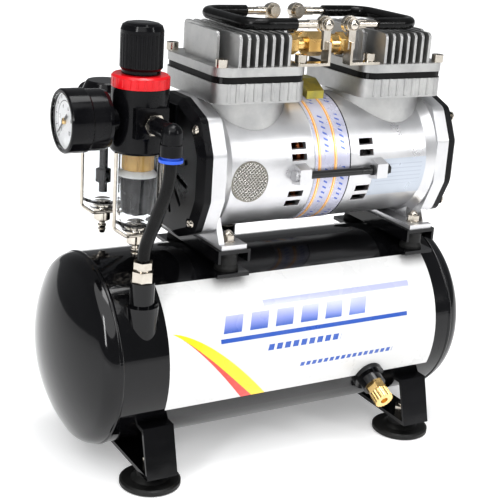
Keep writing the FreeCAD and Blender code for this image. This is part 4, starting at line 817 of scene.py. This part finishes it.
def makeWeave(name, centre, outward, radius, look):
    verts = []
    faces = []
    pitch = look["pitch"] * mm
    count = int((radius - 0.8 * mm) / pitch)
    for family in (0, 1):
        lean = math.radians(look["leanDegrees"]) + family * math.pi / 2
        along = Vector((math.cos(lean), 0, math.sin(lean)))
        across = Vector((-along.z, 0, along.x))
        for row in range(-count, count + 1):
            offset = row * pitch
            half = math.sqrt(max((radius - 0.5 * mm) ** 2 - offset ** 2, 0.0))
            if half < pitch:
                continue
            steps = max(6, int(half * 2 / pitch * look["stepsPerWave"] / 2))
            over = look["wave"] * mm * (1 if (row + family) % 2 else -1)
            points = []
            for k in range(steps + 1):
                t = -half + 2 * half * k / steps
                lift = outward * over * math.cos(math.pi * t / pitch)
                points.append(centre + along * t + across * offset + Vector((0, lift, 0)))
            roundWire(points, look["wire"] * mm, look["segments"], verts, faces)
    weave = addMesh(name, verts, faces, shop["wireSteel"])
    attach(weave, "frame")


wireLook = dict(colour=(0.72, 0.71, 0.68), second=(0.55, 0.53, 0.50), metallic=1.0, roughness=(0.2, 0.35),
                grain=0.1, driftScale=300.0)
pocketLook = dict(colour=(0.34, 0.33, 0.29), second=(0.22, 0.21, 0.18), metallic=0.5, roughness=(0.5, 0.7),
                  grain=0.3)
shop["wireSteel"] = shopFinish("wireSteel", wireLook)
shop["pocketShadow"] = shopFinish("pocketShadow", pocketLook)
screens = nodes["intake_screens"]
screens.data.materials.clear()
screens.data.materials.append(shop["pocketShadow"])
screenLow, screenHigh, screenMid = boxOf("intake_screens")
screenRadius = (screenHigh.z - screenLow.z) / 2
weaveRadius = screenRadius - 0.4 * mm
weaveLift = 0.25 * mm
frontCentre = Vector((screenLow.x + screenRadius, screenLow.y - weaveLift, screenMid.z))
rearCentre = Vector((screenHigh.x - screenRadius, screenHigh.y + weaveLift, screenMid.z))
makeWeave("intakeWeaveFront", frontCentre, -1.0, weaveRadius, weaveLook)
makeWeave("intakeWeaveRear", rearCentre, 1.0, weaveRadius, weaveLook)
print("intake weave")


# A rating plate with blank rules. Places on it are in millimetres, as on the label.
plateLook = dict(left=60 * mm, right=111 * mm, fromDegrees=-30.0, toDegrees=6.0, thickness=0.12 * mm,
                 radius=motorRadius + 0.05 * mm, rows=24, columns=4, base=(0.50, 0.54, 0.60),
                 line=(0.34, 0.37, 0.44), metallic=0.4, roughness=(0.25, 0.4), ruleStart=-0.6, rulePitch=2.9,
                 ruleWidth=0.7, ruleStrength=0.5, ruled=(8.5, 23.5, 3.0, 40.0))


def plateInk(look):
    material, tree, shader = newMaterial("plateInk")
    across, up = sheetPlace(tree)
    low, high, left, right = look["ruled"]
    phase = mathOf(tree, "MODULO", mathOf(tree, "SUBTRACT", up, look["ruleStart"]), look["rulePitch"])
    rule = mathOf(tree, "LESS_THAN", phase, look["ruleWidth"])
    marks = both(tree, rule, between(tree, across, left, right), between(tree, up, low, high))
    faint = mathOf(tree, "MULTIPLY", marks, look["ruleStrength"])
    tree.links.new(mixColours(tree, faint, look["base"], look["line"]), shader.inputs["Base Color"])
    shader.inputs["Metallic"].default_value = look["metallic"]
    wanderingRoughness(tree, shader, 70.0, *look["roughness"])
    gentleBump(tree, shader, 30.0, 0.15, 0.0003)
    return material


ratingPlate = wrappedSheet("ratingPlate", plateLook, statorMid, plateInk(plateLook))
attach(ratingPlate, "frame")
print("rating plate")


viewLook = dict(place=(-385.79 * mm, -641.98 * mm, 374.12 * mm), azimuth=-30.649, elevation=18.083,
                roll=3.885, lens=82.868, sensorWidth=36.0, nearest=0.01, farthest=100.0)


def addCamera(look):
    azimuth = math.radians(look["azimuth"])
    elevation = math.radians(look["elevation"])
    roll = math.radians(look["roll"])
    level = math.cos(elevation)
    back = Vector((math.sin(azimuth) * level, -math.cos(azimuth) * level, math.sin(elevation)))
    right = (-back).cross(Vector((0, 0, 1))).normalized()
    up = right.cross(-back)
    tiltedRight = right * math.cos(roll) + up * math.sin(roll)
    tiltedUp = -right * math.sin(roll) + up * math.cos(roll)
    turn = Matrix((tiltedRight, tiltedUp, back)).transposed().to_4x4()
    data = bpy.data.cameras.new("viewCamera")
    data.lens = look["lens"]
    data.sensor_width = look["sensorWidth"]
    data.clip_start = look["nearest"]
    data.clip_end = look["farthest"]
    camera = bpy.data.objects.new("viewCamera", data)
    camera.matrix_world = Matrix.Translation(Vector(look["place"])) @ turn
    bpy.context.scene.collection.objects.link(camera)
    bpy.context.scene.camera = camera


studioLook = dict(floorRadius=40.0, floorColour=(0.92, 0.92, 0.92), floorRoughness=(0.75, 0.85),
                  floorGlow=0.25, floorDrop=0.2 * mm, world=(0.95, 0.97, 1.0), worldStrength=0.24,
                  sunStrength=2.0, sunSoftness=70.0, sunAim=(0.25, 0.45, -1.0), lightAim=(0, 0, 0.15),
                  lights=[dict(name="topSoftbox", place=(0.1, -0.1, 1.3), size=(0.8, 0.4), power=5.0),
                          dict(name="leftStrip", place=(-1.1, -0.7, 0.75), size=(0.14, 0.8), power=4.5),
                          dict(name="rightStrip", place=(0.9, -1.2, 0.8), size=(0.14, 0.8), power=3.5)])


def addStudio(look):
    paper = shopFinish("studioPaper", dict(colour=look["floorColour"], second=look["floorColour"],
                                           roughness=look["floorRoughness"], grain=0.0))
    paperShader = paper.node_tree.nodes["Principled BSDF"]
    paperShader.inputs["Emission Color"].default_value = (1.0, 1.0, 1.0, 1.0)
    paperShader.inputs["Emission Strength"].default_value = look["floorGlow"]
    profile = [(pinhole, 0.0), (0.5, 0.0), (3.0, 0.0), (look["floorRadius"], 0.0)]
    floorVerts, floorFaces = lathe(profile, (0, 0, -look["floorDrop"]), (0, 0, 1), 48)
    floor = addMesh("studioFloor", floorVerts, floorFaces, paper)
    world = bpy.data.worlds.new("studioAir")
    world.use_nodes = True
    background = world.node_tree.nodes["Background"]
    background.inputs["Color"].default_value = (*look["world"], 1.0)
    background.inputs["Strength"].default_value = look["worldStrength"]
    bpy.context.scene.world = world
    sun = bpy.data.lights.new("ceilingGlow", "SUN")
    sun.energy = look["sunStrength"]
    sun.angle = math.radians(look["sunSoftness"])
    ceiling = bpy.data.objects.new("ceilingGlow", sun)
    ceiling.rotation_euler = Vector(look["sunAim"]).to_track_quat("-Z", "Y").to_euler()
    bpy.context.scene.collection.objects.link(ceiling)
    for lamp in look["lights"]:
        data = bpy.data.lights.new(lamp["name"], "AREA")
        data.shape = "RECTANGLE"
        data.size = lamp["size"][0]
        data.size_y = lamp["size"][1]
        data.energy = lamp["power"]
        light = bpy.data.objects.new(lamp["name"], data)
        light.location = lamp["place"]
        toward = Vector(look["lightAim"]) - Vector(lamp["place"])
        light.rotation_euler = toward.to_track_quat("-Z", "Y").to_euler()
        bpy.context.scene.collection.objects.link(light)


addCamera(viewLook)
addStudio(studioLook)
bpy.context.scene.view_settings.view_transform = "Standard"
bpy.context.scene.view_settings.look = "Medium High Contrast"
print("camera, floor and lights")
